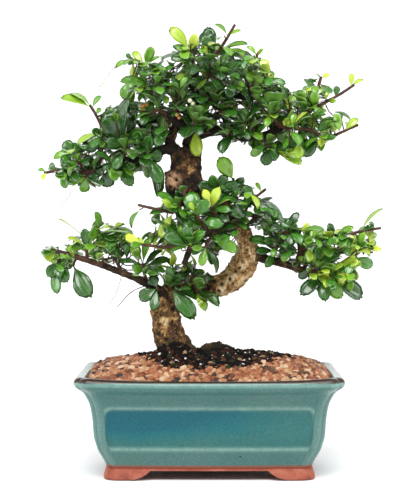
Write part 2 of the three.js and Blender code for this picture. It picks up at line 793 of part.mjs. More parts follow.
/** Half corner of the pot in notch sizes: along the wall, over the ridge and into the valley. */
const NOTCH_CORNER = [[-1.8, 0], [-1.15, -0.2], [-0.72, -0.72]];
const LONG_SIDE_SHARES = [0.5, 0];
const SHORT_SIDE_SHARES = [0];

/** The pot's plan at an inset from the lip, with bowed sides and corners dented inwards. */
function potRing(inset, height, lift = 0) {
  const halfLength = LIP_LENGTH / 2 - inset;
  const halfDepth = LIP_DEPTH / 2 - inset;
  const cornerX = halfLength - SIDE_BOW.short;
  const cornerY = halfDepth - SIDE_BOW.long;
  const share = THREE.MathUtils.clamp((height - CORNER_NOTCH.from) / CORNER_NOTCH.over, 0, 1);
  const notch = THREE.MathUtils.lerp(CORNER_NOTCH.body, CORNER_NOTCH.lip, share);
  const quarter = [];
  const ridgeX = cornerX - 2 * notch;
  const ridgeY = cornerY - 2 * notch;
  SHORT_SIDE_SHARES.forEach((part) => {
    quarter.push([cornerX + SIDE_BOW.short * (1 - part * part), part * ridgeY]);
  });
  const intoCorner = NOTCH_CORNER.map(([along, out]) => [cornerX + out * notch, cornerY + along * notch]);
  const outOfCorner = NOTCH_CORNER.slice(0, -1).reverse();
  quarter.push(...intoCorner);
  quarter.push(...outOfCorner.map(([along, out]) => [cornerX + along * notch, cornerY + out * notch]));
  LONG_SIDE_SHARES.forEach((part) => {
    quarter.push([part * ridgeX, cornerY + SIDE_BOW.long * (1 - part * part)]);
  });
  const half = [...quarter, ...quarter.slice(0, -1).reverse().map(([x, y]) => [-x, y])];
  const outline = [...half, ...half.slice(1, -1).reverse().map(([x, y]) => [x, -y])];
  const reach = Math.hypot(cornerX, cornerY);
  return outline.map(([x, y]) => {
    const nearCorner = THREE.MathUtils.clamp(Math.hypot(x, y) / reach, 0, 1) ** CORNER_LIFT.sharpness;
    return new THREE.Vector3(x, y, height + lift * (nearCorner - 0.5));
  });
}

/** How far the lip's corners stand above its middle at a height of the wall. */
function cornerLift(height, from) {
  return CORNER_LIFT.rise * THREE.MathUtils.clamp((height - from) / CORNER_LIFT.over, 0, 1);
}

/** A block standing along y or x, from an outline drawn in the wall's plane. */
function wallPrism(outline, reach, alongX) {
  const geometry = new THREE.ExtrudeGeometry(outline, { depth: reach, bevelEnabled: false });
  geometry.rotateX(Math.PI / 2);
  if (alongX) {
    geometry.rotateZ(Math.PI / 2);
  }
  return geometrySolid(geometry);
}

/** The recessed panel's outline, a rectangle with round corners. */
function panelOutline(half) {
  const { low, high, corner } = PANEL;
  const shape = new THREE.Shape();
  shape.moveTo(-half + corner, low);
  shape.absarc(half - corner, low + corner, corner, -Math.PI / 2, 0);
  shape.absarc(half - corner, high - corner, corner, 0, Math.PI / 2);
  shape.absarc(-half + corner, high - corner, corner, Math.PI / 2, Math.PI);
  shape.absarc(-half + corner, low + corner, corner, Math.PI, Math.PI * 1.5);
  return new THREE.Shape(shape.getPoints(1));
}

/** The opening between two feet, wide at the surface and narrowing in a curve to the underside. */
function archOutline(half) {
  const shape = new THREE.Shape();
  shape.moveTo(-half - FOOT.rise, -1);
  shape.lineTo(half + FOOT.rise, -1);
  shape.lineTo(half + FOOT.rise, 0);
  shape.quadraticCurveTo(half + FOOT.rise * 0.3, 2, half, UNDERSIDE);
  shape.lineTo(-half, UNDERSIDE);
  shape.quadraticCurveTo(-half - FOOT.rise * 0.3, 2, -half - FOOT.rise, 0);
  return new THREE.Shape(shape.getPoints(2));
}

/** Four bracket feet that wrap the pot's corners, cut out of one band under the base. */
function makeFeet() {
  const { footInset, topInset, bulge, bulgeHeight, topHeight, seatInset, seatHeight, width } = FOOT;
  const low = [[footInset, 0], [topInset - bulge, bulgeHeight]];
  const outer = [...low, [topInset, topHeight], [seatInset, seatHeight]];
  const inner = [[footInset + width, seatHeight], [footInset + width, 0]];
  const band = toSolid(loft([...outer, ...inner].map(([inset, height]) => potRing(inset, height)), true));
  const front = wallPrism(archOutline(FOOT.longGap), LIP_DEPTH, false).translate(0, LIP_DEPTH / 2, 0);
  const side = wallPrism(archOutline(FOOT.shortGap), LIP_LENGTH, true).translate(-LIP_LENGTH / 2, 0, 0);
  return band.subtract(front).subtract(side);
}

/** The pot: one fired body with its lip, recessed panels, drain holes and feet. */
function makePot() {
  const outer = OUTER_WALL.map(([height, inset]) => {
    return potRing(inset, height, cornerLift(height, CORNER_LIFT.outerFrom));
  });
  const shell = toSolid(loft([...outer, ...innerWall(0).reverse()]));
  const core = OUTER_WALL.slice(1, 8).map(([height, inset]) => potRing(inset + PANEL.recess, height));
  const front = wallPrism(panelOutline(PANEL.longHalf), LIP_DEPTH, false).translate(0, LIP_DEPTH / 2, 0);
  const side = wallPrism(panelOutline(PANEL.shortHalf), LIP_LENGTH, true).translate(-LIP_LENGTH / 2, 0, 0);
  const recess = front.add(side).subtract(toSolid(loft(core)));
  const drill = new THREE.CylinderGeometry(DRAIN_HOLE.radius, DRAIN_HOLE.radius, 2 * FLOOR_TOP, 16);
  drill.rotateX(Math.PI / 2);
  const drain = geometrySolid(drill);
  const drains = joinAll([-1, 1].map((way) => drain.translate(way * DRAIN_HOLE.spread, 0, FLOOR_TOP)));
  return shell.subtract(recess).add(makeFeet()).subtract(drains);
}

/** A plastic mesh that lies on the pot's floor over one drain hole. */
function makeScreen(x) {
  const { side, thickness, bar, cells } = SCREEN;
  const pitch = (side - bar) / cells;
  const plate = geometrySolid(new THREE.BoxGeometry(side, side, thickness));
  const hole = geometrySolid(new THREE.BoxGeometry(pitch - bar, pitch - bar, 2 * thickness));
  const offsets = Array.from({ length: cells }, (_, i) => (i - (cells - 1) / 2) * pitch);
  const holes = offsets.flatMap((across) => offsets.map((up) => hole.translate(across, up, 0)));
  return plate.subtract(joinAll(holes)).translate(x, 0, FLOOR_TOP + GAP + thickness / 2);
}

function moundHeight(x, y) {
  const length = Math.min(1, Math.abs(x) / MOUND.halfLength) ** 2.2;
  const depth = Math.min(1, Math.abs(y) / MOUND.halfDepth) ** 1.8;
  return MOUND.rim + MOUND.rise * (1 - length) * (1 - depth);
}

/** The bare patch's edge in the direction of a point of the pot's plan, at a height or on the mound. */
function patchPoint(point, grow, height) {
  const { x, y, halfLength, halfDepth, threefold, fivefold } = BARE_PATCH;
  const angle = Math.atan2((point.y - y) / halfDepth, (point.x - x) / halfLength);
  const reach = 1 + threefold * Math.sin(3 * angle + 1) + fivefold * Math.sin(5 * angle);
  const spot = new THREE.Vector3(x + Math.cos(angle) * (halfLength * reach + grow), 0, 0);
  spot.y = y + Math.sin(angle) * (halfDepth * reach + grow);
  spot.z = height ?? moundHeight(spot.x, spot.y);
  return spot;
}

/** The pot's inner wall as rings, all moved inwards by the same amount. */
function innerWall(inwards) {
  return INNER_WALL.map(([height, inset]) => {
    return potRing(inset + inwards, height, cornerLift(height, CORNER_LIFT.innerFrom));
  });
}

/** A level ring that lies against the pot's inner wall, clear of it by the wall gap. */
function wallRing(height) {
  const rings = innerWall(WALL_GAP);
  const above = Math.max(1, INNER_WALL.findIndex(([level]) => level >= height));
  const [low, high] = [INNER_WALL[above - 1][0], INNER_WALL[above][0]];
  const share = (height - low) / (high - low);
  return rings[above - 1].map((point, i) => {
    const spot = point.clone().lerp(rings[above][i], share);
    spot.z = height;
    return spot;
  });
}

/** The soil: it fills the pot and rises bare round the foot of the trunk. */
function makeSoil(wood) {
  const draw = seededDraws(11);
  const rings = [FLOOR_TOP + GAP, 38, 60, SOIL_LEVEL].map(wallRing);
  rings.push(rings[0].map((point) => patchPoint(point, -2 * GAP, SOIL_LEVEL)));
  const edge = rings[0].map((point) => patchPoint(point, -2 * GAP));
  [1, 0.72, 0.4].forEach((share) => {
    rings.push(edge.map((point) => {
      const spot = new THREE.Vector3(BARE_PATCH.x, BARE_PATCH.y, 0).lerp(point, share);
      const relief = share < 1 ? SOIL_RELIEF.rise * draw() : 0;
      spot.z = moundHeight(spot.x, spot.y) - SOIL_RELIEF.sink + relief;
      return spot;
    }));
  });
  const pocketSide = SCREEN.side + 2 * GAP;
  const pocket = new THREE.BoxGeometry(pocketSide, pocketSide, 2 * (SCREEN.thickness + 2 * GAP));
  const pockets = [-1, 1].map((way) => {
    return geometrySolid(pocket).translate(way * DRAIN_HOLE.spread, 0, FLOOR_TOP);
  });
  return mainBody(toSolid(loft(rings)).subtract(joinAll(pockets)).subtract(wood));
}

/** A soft oblong ring inside the pot's wall, without the dents of its corners. */
function gravelRing(inset, height) {
  const soften = (value) => Math.sign(value) * Math.abs(value) ** (2 / GRAVEL.squareness);
  return Array.from({ length: GRAVEL.spokes }, (_, i) => {
    const angle = (2 * Math.PI * i) / GRAVEL.spokes;
    const x = (LIP_LENGTH / 2 - inset) * soften(Math.cos(angle));
    return new THREE.Vector3(x, (LIP_DEPTH / 2 - inset) * soften(Math.sin(angle)), height);
  });
}

/** The gravel: a ring between the pot's rim and the bare patch, with its grains as relief. */
function makeGravel(wood) {
  const draw = seededDraws(23);
  const low = SOIL_LEVEL + GAP;
  const rim = gravelRing(GRAVEL.rimInset, GRAVEL.rimHeight);
  const patch = rim.map((point) => patchPoint(point, 0));
  const rings = [rim.map((point) => patchPoint(point, 0, low)), gravelRing(GRAVEL.lowInset, low), rim];
  for (let step = 1; step <= GRAVEL.steps; step += 1) {
    rings.push(rim.map((point, i) => {
      const spot = point.clone().lerp(patch[i], step / GRAVEL.steps);
      const relief = GRAVEL.relief * (2 * draw() - 1);
      spot.z = moundHeight(spot.x, spot.y) + relief;
      return spot;
    }));
  }
  return mainBody(toSolid(loft(rings, true)).subtract(wood));
}

/** A tapering limb: a tube with its own radius at every point of its route. */
function limbRings({ sides, route, grow = 0 }) {
  const nodes = route.map((point) => seen(point));
  const span = new THREE.Box3().setFromPoints(nodes).getSize(new THREE.Vector3());
  const steady = [[span.x, 1, 0, 0], [span.y, 0, 1, 0], [span.z, 0, 0, 1]].sort((a, b) => a[0] - b[0])[0];
  const reference = new THREE.Vector3(...steady.slice(1));
  const inflate = grow / Math.cos(Math.PI / sides);
  return route.map(([, , , radius], step) => {
    const next = nodes[Math.min(step + 1, nodes.length - 1)];
    const forward = next.clone().sub(nodes[Math.max(step - 1, 0)]).normalize();
    const across = new THREE.Vector3().crossVectors(reference, forward).normalize();
    const upward = new THREE.Vector3().crossVectors(forward, across);
    return Array.from({ length: sides }, (_, side) => {
      const angle = (2 * Math.PI * side) / sides;
      const offset = across.clone().multiplyScalar(Math.cos(angle)).addScaledVector(upward, Math.sin(angle));
      return nodes[step].clone().addScaledVector(offset, barkRadius(radius, angle, step, sides) + inflate);
    });
  });
}

/** The thick trunk isn't round: old wood swells in uneven ribs. */
function barkRadius(radius, angle, step, sides) {
  const depth = sides >= RIBBED_SIDES ? RIB_DEPTH : 0;
  return radius * (1 + depth * Math.sin(3 * angle + 0.5 * step) + depth * Math.sin(2 * angle - 0.8 * step));
}

/** The tube's stretches between neighbouring rings, as loose pieces for the clearance test. */
function limbStretches(rings) {
  return rings.slice(1).map((ring, i) => loft([rings[i], ring]));
}

/** A twig of a spray: its radius tapers from root to end unless its points give their own. */
function twigRings(points, grow = 0) {
  const route = points.map(([column, row, depth, radius], i) => {
    const taper = THREE.MathUtils.lerp(TWIG.root, TWIG.end, i / (points.length - 1));
    return [column, row, depth, radius ?? taper];
  });
  return limbRings({ sides: TWIG.sides, route, grow });
}

/** The place inside a twig at a share of its points' run, a little short of its end at most. */
function placeOnTwig(points, share) {
  const place = Math.min(share, NECK_DEPTH) * (points.length - 1);
  const before = Math.min(Math.floor(place), points.length - 2);
  return seen(points[before]).lerp(seen(points[before + 1]), place - before);
}

/** The part of a direction that stands square to another, at unit length. */
function squareTo(direction, axis) {
  return direction.clone().addScaledVector(axis, -direction.dot(axis)).normalize();
}

/** A leaf from its neck and tip; its upper face is rolled until it is seen as wide as it should be. */
function leafFromView(neck, tip, seenWidth) {
  const along = tip.clone().sub(neck);
  const length = along.length();
  along.normalize();
  const width = Math.max(seenWidth, BLADE.slimmest * length);
  const toViewer = squareTo(new THREE.Vector3(0, -1, 0), along);
  const upward = new THREE.Vector3().crossVectors(along, toViewer);
  if (upward.z < 0) {
    upward.negate();
  }
  const facing = Math.min(1, seenWidth / width);
  const normal = toViewer.multiplyScalar(facing).addScaledVector(upward, Math.sqrt(1 - facing * facing));
  return { neck, along, length, width, normal };
}

/** A leaf that simply holds its upper face to the light. */
function leafToLight(neck, tip) {
  const along = tip.clone().sub(neck);
  const length = along.length();
  along.normalize();
  const normal = squareTo(new THREE.Vector3(0, -0.4, 1), along);
  return { neck, along, length, width: 0.52 * length, normal };
}

function bladeOutline(length) {
  if (length >= LARGE_BLADE) {
    return LARGE_OUTLINE;
  }
  return length >= SMALL_BLADE ? MEDIUM_OUTLINE : SMALL_OUTLINE;
}

/** The blade: an arched plate with square edges, both faces split into the same triangles. */
function blade(leaf, grow = 0, outerOnly = false) {
  const { along, length, width, normal } = leaf;
  const across = new THREE.Vector3().crossVectors(along, normal);
  const half = BLADE.thickness / 2 + grow;
  const outline = bladeOutline(length);
  const stations = outerOnly ? outline.slice(1) : outline;
  const first = outerOnly ? outline[0][0] : 0;
  const points = [];
  const addEdge = (share, reach) => {
    const { centre, face } = bladeCentre(leaf, share);
    points.push(centre.clone().addScaledVector(across, reach).addScaledVector(face, half));
    points.push(centre.clone().addScaledVector(across, reach).addScaledVector(face, -half));
  };
  addEdge(first, 0);
  stations.forEach(([share, wide]) => {
    addEdge(share, wide * width + grow);
    addEdge(share, -wide * width - grow);
  });
  addEdge(1 + grow / length, 0);
  return { points, faces: bladeFaces(stations.length) };
}

/** Triangles of a blade whose pairs of edge points lie between one neck edge and one tip edge. */
function bladeFaces(pairs) {
  const upper = [];
  const rim = [[0, 2]];
  upper.push([0, 2, 4]);
  for (let pair = 1; pair < pairs; pair += 1) {
    const right = 4 * pair - 2;
    upper.push([right, right + 4, right + 2], [right + 2, right + 4, right + 6]);
    rim.push([right, right + 4]);
  }
  const lastRight = 4 * pairs - 2;
  const tip = lastRight + 4;
  upper.push([lastRight, tip, lastRight + 2]);
  rim.push([lastRight, tip], [tip, lastRight + 2]);
  for (let pair = pairs - 1; pair > 0; pair -= 1) {
    rim.push([4 * pair + 4, 4 * pair]);
  }
  rim.push([4, 0]);
  const under = upper.map(([a, b, c]) => [a + 1, c + 1, b + 1]);
  const walls = rim.flatMap(([a, b]) => [[b, a, a + 1], [b, a + 1, b + 1]]);
  return [...upper, ...under, ...walls];
}

/** The blade's middle at a share of its length, arched up between neck and tip. */
function bladeCentre({ neck, along, length, normal }, share) {
  const bow = 2 * share - 1;
  const slope = -4 * BLADE.arch * bow;
  const centre = neck.clone().addScaledVector(along, share * length);
  centre.addScaledVector(normal, BLADE.arch * length * (1 - bow * bow));
  const face = normal.clone().addScaledVector(along, -slope).normalize();
  return { centre, face };
}

/** Whether a straight edge passes through a triangle. */
function pierces(from, to, [a, b, c]) {
  const run = to.clone().sub(from);
  const sideB = b.clone().sub(a);
  const sideC = c.clone().sub(a);
  const p = run.clone().cross(sideC);
  const scale = sideB.dot(p);
  if (Math.abs(scale) < 1e-9) {
    return false;
  }
  const offset = from.clone().sub(a);
  const u = offset.dot(p) / scale;
  if (u < 0 || u > 1) {
    return false;
  }
  const q = offset.cross(sideB);
  const v = run.dot(q) / scale;
  const t = sideC.dot(q) / scale;
  return v >= 0 && u + v <= 1 && t >= 0 && t <= 1;
}

/** A shape made ready for the clearance test: its box, its triangles and its edges. */
function outlineOf({ points, faces }) {
  const triangles = faces.map((face) => face.map((i) => points[i]));
  const edges = faces.flatMap(([a, b, c]) => [[a, b], [b, c], [c, a]]).filter(([a, b]) => a < b);
  const box = new THREE.Box3().setFromPoints(points);
  return { box, edges: edges.map(([a, b]) => [points[a], points[b]]), triangles };
}

function cross(one, other) {
  if (!one.box.intersectsBox(other.box)) {
    return false;
  }
  const hit = (edges, triangles) => edges.some(([from, to]) => {
    return triangles.some((triangle) => pierces(from, to, triangle));
  });
  return hit(one.edges, other.triangles) || hit(other.edges, one.triangles);
}

/** Ways in which a leaf may bend clear, in turn: depth and height in mm, and share of its length. */
const BENDS = [
  [0, 0, 1], [-3, 0, 1], [3, 0, 1], [-6, 0, 1], [6, 0, 1], [-10, 0, 1], [10, 0, 1], [-14, 0, 1],
  [14, 0, 1], [-4, 3, 0.9], [4, 3, 0.9], [-4, -3, 0.9], [4, -3, 0.9], [-9, 3, 0.85], [9, 3, 0.85],
  [-18, 0, 1], [18, 0, 1], [0, 0, 0.75], [-7, 0, 0.75], [7, 0, 0.75],
];

/** Grows one leaf clear of every other node's wood and leaves, or gives it up. */
function growClear(grow, neck, tip, owner, thicket) {
  for (const strict of [true, false]) {
    for (const [depth, height, share] of BENDS) {
      const aim = tip.clone().add(new THREE.Vector3(0, depth, height));
      const leaf = grow(neck, aim.sub(neck).multiplyScalar(share).add(neck));
      const whole = outlineOf(blade(leaf, BLADE.clearance));
      const outer = outlineOf(blade(leaf, BLADE.clearance, leaf.length > SMALL_BLADE));
      const blocked = thicket.some((other) => {
        if (other.owner !== owner) {
          return cross(whole, other.whole);
        }
        return strict && other.outer && cross(outer, other.outer);
      });
      if (!blocked) {
        thicket.push({ owner, whole, outer });
        return leaf;
      }
    }
  }
  return null;
}

/** Leaves that a rule adds to a spray: round its twigs in a spiral, denser towards the ends. */
function spiralLeaves(spray, draw) {
  const [count, reach] = spray.more;
  return Array.from({ length: count }, (_, i) => {
    const points = spray.twigs[i % spray.twigs.length];
    const share = 0.5 + 0.5 * Math.sqrt((i + 1) / count);
    const neck = placeOnTwig(points, share);
    const forward = seen(points.at(-1)).sub(seen(points[0])).normalize();
    const turn = SPIRAL_TURN * i + draw();
    const lean = 0.9 + 0.5 * draw() - 0.6 * share;
    const across = squareTo(new THREE.Vector3(0, 0, 1), forward);
    const beside = new THREE.Vector3().crossVectors(forward, across);
    const outward = across.multiplyScalar(Math.cos(turn)).addScaledVector(beside, Math.sin(turn));
    const heading = forward.multiplyScalar(Math.cos(lean)).addScaledVector(outward, Math.sin(lean));
    const length = reach * (0.8 + 0.4 * draw());
    return { neck, tip: neck.clone().addScaledVector(heading, length) };
  });
}

/** The leaves of every spray, the drawn ones first, each bent clear of the other sprays. */
function growLeaves(thicket) {
  const draw = seededDraws(5);
  const leaves = Object.fromEntries(Object.keys(SPRAYS).map((name) => [name, []]));
  Object.entries(SPRAYS).forEach(([name, spray]) => {
    (spray.leaves ?? []).forEach(([twig, share, column, row, depth, width]) => {
      const neck = placeOnTwig(spray.twigs[twig], share);
      const grow = (from, tip) => leafFromView(from, tip, width * (VIEW.distance / VIEW.focal));
      const tip = seen([column, row, depth + DEPTH_SPREAD * (draw() - 0.5)]);
      leaves[name].push(growClear(grow, neck, tip, name, thicket));
    });
  });
  Object.entries(SPRAYS).filter(([, spray]) => spray.more).forEach(([name, spray]) => {
    spiralLeaves(spray, draw).forEach(({ neck, tip }) => {
      leaves[name].push(growClear(leafToLight, neck, tip, name, thicket));
    });
  });
  return leaves;
}

/** One spray: its twigs and leaves in one body, trimmed where it springs from the wood. */
function makeSpray(spray, leaves, wood) {
  const twigs = spray.twigs.map((points) => toSolid(loft(twigRings(points))));
  const blades = leaves.filter(Boolean).map((leaf) => toSolid(blade(leaf)));
  return mainBody(joinAll([...twigs, ...blades]).subtract(wood));
}

function leafColor(spray) {
  const tones = spray.leaves?.map((leaf) => leaf.at(-1)) ?? [spray.more.at(-1)];
  const mean = tones.reduce((sum, tone) => sum + tone, 0) / tones.length;
  return LEAF_GREENS[Math.round(mean)];
}

/** Wood and twigs as obstacles: the stretches of every tube, under their node's name. */
function woodThicket() {
  const stretches = (owner, rings) => {
    return limbStretches(rings).map((stretch) => ({ owner, whole: outlineOf(stretch) }));
  };
  const limbs = Object.values(LIMBS).flatMap((limb) => stretches('trunk', limbRings({ ...limb, grow: GAP })));
  const twigs = Object.entries(SPRAYS).flatMap(([name, spray]) => {
    return spray.twigs.flatMap((points) => stretches(name, twigRings(points, GAP)));
  });
  return [...limbs, ...twigs];
}

/** All limbs joined, at their true size or swollen by a gap. */
function makeWood(grow) {
  return joinAll(Object.values(LIMBS).map((limb) => toSolid(loft(limbRings({ ...limb, grow })))));
}

const wood = makeWood(0);
const clearOfWood = makeWood(GAP);

const bonsai = new THREE.Group();
bonsai.add(makePiece('pot', makePot(), FINISH.pot));
bonsai.add(makePiece('soil', makeSoil(clearOfWood), FINISH.soil));
bonsai.add(makePiece('gravel', makeGravel(clearOfWood), FINISH.gravel));
bonsai.add(makePiece('drain_screen_left', makeScreen(-DRAIN_HOLE.spread), FINISH.screen));
bonsai.add(makePiece('drain_screen_right', makeScreen(DRAIN_HOLE.spread), FINISH.screen));
bonsai.add(makePiece('trunk', mainBody(wood), FINISH.bark));

const leaves = growLeaves(woodThicket());
Object.entries(SPRAYS).forEach(([name, spray]) => {
  const finish = { color: leafColor(spray), roughness: 0.4 };
  bonsai.add(makePiece(`spray_${name}`, makeSpray(spray, leaves[name], clearOfWood), finish));
});

// The origin lies under the middle of the whole plant and pot, on the surface under the feet
const middle = new THREE.Box3().setFromObject(bonsai).getCenter(new THREE.Vector3());
bonsai.position.set(-middle.x, -middle.y, 0);

export default bonsai;
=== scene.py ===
"""Looks of a Fukien tea bonsai in its glazed stoneware pot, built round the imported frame.

Wood, twigs and leaves are laid out in the front view: each point is a column and a row of a 415 by
500 field with a depth behind the middle of the pot. Lengths are millimetres from the middle of the
pot until a mesh is made, and metres in the frame from then on.
"""

import logging
import math
from collections.abc import Callable, Iterable, Sequence
from dataclasses import dataclass, field
from enum import Enum
from functools import partial

import bpy
import numpy as np
from bpy.types import Material, Mesh, Node, NodeSocket, NodeTree, Object
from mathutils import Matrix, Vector, noise


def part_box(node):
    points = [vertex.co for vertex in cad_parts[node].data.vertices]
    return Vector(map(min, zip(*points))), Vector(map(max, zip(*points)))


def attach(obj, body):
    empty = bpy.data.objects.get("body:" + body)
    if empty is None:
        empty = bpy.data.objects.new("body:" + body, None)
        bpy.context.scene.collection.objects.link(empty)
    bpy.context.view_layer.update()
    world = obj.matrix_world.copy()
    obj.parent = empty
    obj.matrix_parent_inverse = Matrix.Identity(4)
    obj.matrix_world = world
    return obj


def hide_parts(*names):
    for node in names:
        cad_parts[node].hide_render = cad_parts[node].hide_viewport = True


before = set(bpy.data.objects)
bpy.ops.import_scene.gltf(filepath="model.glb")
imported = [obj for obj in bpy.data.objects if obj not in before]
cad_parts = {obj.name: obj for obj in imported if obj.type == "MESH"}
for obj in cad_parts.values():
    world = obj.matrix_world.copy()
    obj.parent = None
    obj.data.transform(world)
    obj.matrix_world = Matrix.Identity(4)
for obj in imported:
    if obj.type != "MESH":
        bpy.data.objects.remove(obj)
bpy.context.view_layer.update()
log = logging.getLogger("bonsai")
MM = 0.001
BODY = "root"
POT_MIDDLE = (np.array(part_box("pot")[0]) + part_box("pot")[1]) / 2 * (1, 1, 0) / MM
Row = tuple[float, ...]
Array = np.ndarray


class Slot(Enum):
    """The record's material slots."""

    GLAZE = "glazed_stoneware"
    SOIL = "potting_soil"
    GRAVEL = "river_gravel"
    MESH = "plastic_mesh"
    BARK = "bark"
    LEAF = "foliage"


@dataclass(frozen=True)
class Limb:
    """A tapering limb of wood: its rings' sides, and points of column, row, depth and radius."""

    sides: int
    route: list[Row]


@dataclass(frozen=True)
class Spray:
    """Twigs as routes of points, leaves as (twig unless it is the first, share of its run, column, row and
    depth of the tip, width seen in columns, tone), and leaves that follow a rule as (how many, length, tone)."""

    twigs: list[list[Row]]
    leaves: list[Row] = field(default_factory=list)
    more: Row = ()


@dataclass(frozen=True)
class Mass:
    """A mass of leaves: its outline in the front view, its range of depths, and how many shoots are tried."""

    outline: list[Row]
    depths: Row
    tries: int


@dataclass(frozen=True)
class FrontView:
    """The eye in front of the plant, and the scale of the field that it sees."""

    distance: float = 1326
    focal: float = 1712
    middle_column: float = 209.3
    eye_row: float = 209
    eye_height: float = 203
    columns: int = 415
    rows: int = 500
    sensor: float = 36

    def point(self, place: Sequence[float]) -> Array:
        """The point in space behind a column and row, at a depth.

        Args:
            place: The column, the row and the depth.

        Returns:
            The point in millimetres.
        """
        column, row, depth = place[:3]
        scale = (self.distance + depth) / self.focal
        x = (column - self.middle_column) * scale
        return np.array([x, depth, self.eye_height - (row - self.eye_row) * scale])

    def seen(self, spots: Array) -> tuple[Array, Array]:
        """The columns and rows at which points in space show.

        Args:
            spots: The points.

        Returns:
            Their columns, and their rows.
        """
        x, depth, height = np.moveaxis(spots, -1, 0)
        scale = self.focal / (self.distance + depth)
        return self.middle_column + x * scale, self.eye_row - (height - self.eye_height) * scale


VIEW = FrontView()

LIMBS: dict[str, Limb] = {
    "trunk": Limb(10, [(178, 386, 2, 12), (177, 362, 1, 15), (175, 351, 0, 14), (170, 339, -1, 12.4),
        (166, 326, -2, 11.2), (165, 312, -2, 10.2), (167, 299, -1, 9), (175, 289, 1, 7.8), (188, 285, 3, 7.2),
        (203, 286, 4, 7.6), (219, 286, 4, 8.6), (233, 279, 3, 9.4), (243, 267, 1, 9.2), (248, 254, -1, 7.8),
        (245, 240, -2, 6.4), (236, 225, -3, 6.2), (222, 211, -5, 6.8), (207, 200, -8, 7.8), (194, 190, -10, 9.6),
        (186, 176, -10, 11.4), (186, 162, -8, 11.4), (187, 149, -7, 9.6)]),
    "root_right": Limb(5, [(180, 355, 0, 8), (198, 355, 5, 5.5), (212, 350, 9, 5.5), (224, 351, 12, 5),
        (238, 358, 12, 4), (248, 368, 10, 2.5)]),
    "root_front": Limb(5, [(174, 352, -2, 8), (168, 354, -14, 6), (162, 360, -22, 4), (158, 370, -28, 2.5)]),
    "root_left": Limb(5, [(172, 352, 0, 8), (160, 360, -3, 5.5), (150, 367, -4, 4), (142, 375, -4, 2.5)]),
    "root_back": Limb(5, [(178, 352, 4, 8), (182, 354, 18, 6), (187, 359, 28, 4), (190, 370, 34, 2.5)]),
    "leader_left": Limb(5, [(177, 154, -7, 5.4), (172, 145, -7, 4.4), (171, 136, -6, 4.2), (177, 126, -3, 3.6),
        (191, 115, 0, 3)]),
    "leader": Limb(7, [(190, 153, -5, 6), (190, 138, -3, 5), (192, 120, 0, 4.2), (193, 100, 1, 3.6), (195, 82, 1, 3),
        (197, 67, 0, 2.3)]),
    "low_left": Limb(6, [(167, 297, -3, 5), (155, 288, -7, 3.8), (140, 280, -11, 3.1), (120, 272, -13, 2.7),
        (102, 265, -13, 2.4)]),
    "low_right": Limb(6, [(248, 252, 0, 5), (262, 258, -2, 4), (278, 262, -4, 3.2), (296, 268, -6, 2.9),
        (311, 274, -8, 2.5)]),
    "low_right_up": Limb(5, [(297, 268, -6, 2.6), (299, 256, -6, 2.3)]),
    "centre_front": Limb(6, [(238, 228, -4, 4.5), (222, 227, -18, 3.6), (206, 232, -28, 3), (193, 243, -33, 2.6),
        (188, 254, -34, 2.4), (184, 264, -34, 2.2)]),
    "centre_back": Limb(5, [(236, 225, -2, 4.2), (231, 216, 16, 3.2), (222, 204, 32, 2.2)]),
    "centre_stub": Limb(5, [(236, 220, -3, 3.2), (246, 214, -2, 2.4), (257, 217, -2, 2)]),
    "upper_left": Limb(6, [(184, 155, -7, 5), (168, 149, -10, 4.3), (152, 154, -10, 3.5), (137, 159, -9, 3.2),
        (122, 161, -8, 2.9), (108, 166, -8, 2.5), (97, 170, -8, 2.3)]),
    "upper_right": Limb(6, [(190, 139, -3, 4.4), (206, 133, -6, 3.9), (224, 131, -9, 3.5), (243, 137, -11, 3.2),
        (262, 136, -11, 2.9), (280, 128, -10, 2.6), (296, 120, -9, 2.4)]),
    "upper_right_stub": Limb(5, [(266, 136, -11, 2.3), (273, 149, -10, 2), (274, 161, -10, 1.9)]),
    "upper_right_back": Limb(5, [(224, 131, -9, 3), (244, 124, 14, 2.5), (266, 118, 26, 2.1)]),
    "crown_left": Limb(6, [(193, 104, 1, 3.2), (180, 95, -4, 2.8), (167, 84, -6, 2.6)]),
    "crown_left_back": Limb(5, [(192, 128, 0, 3.4), (175, 116, 20, 2.6), (160, 106, 32, 2)]),
    "crown_front": Limb(5, [(191, 133, -2, 3.6), (180, 124, -16, 2.8), (166, 114, -26, 2.1)]),
    "crown_right": Limb(6, [(193, 110, 1, 3.2), (210, 99, -4, 2.8), (230, 95, -8, 2.4), (252, 99, -9, 2.1)]),
    "crown_right_back": Limb(5, [(193, 114, 1, 3.2), (210, 103, 22, 2.4), (228, 92, 34, 1.9)]),
}

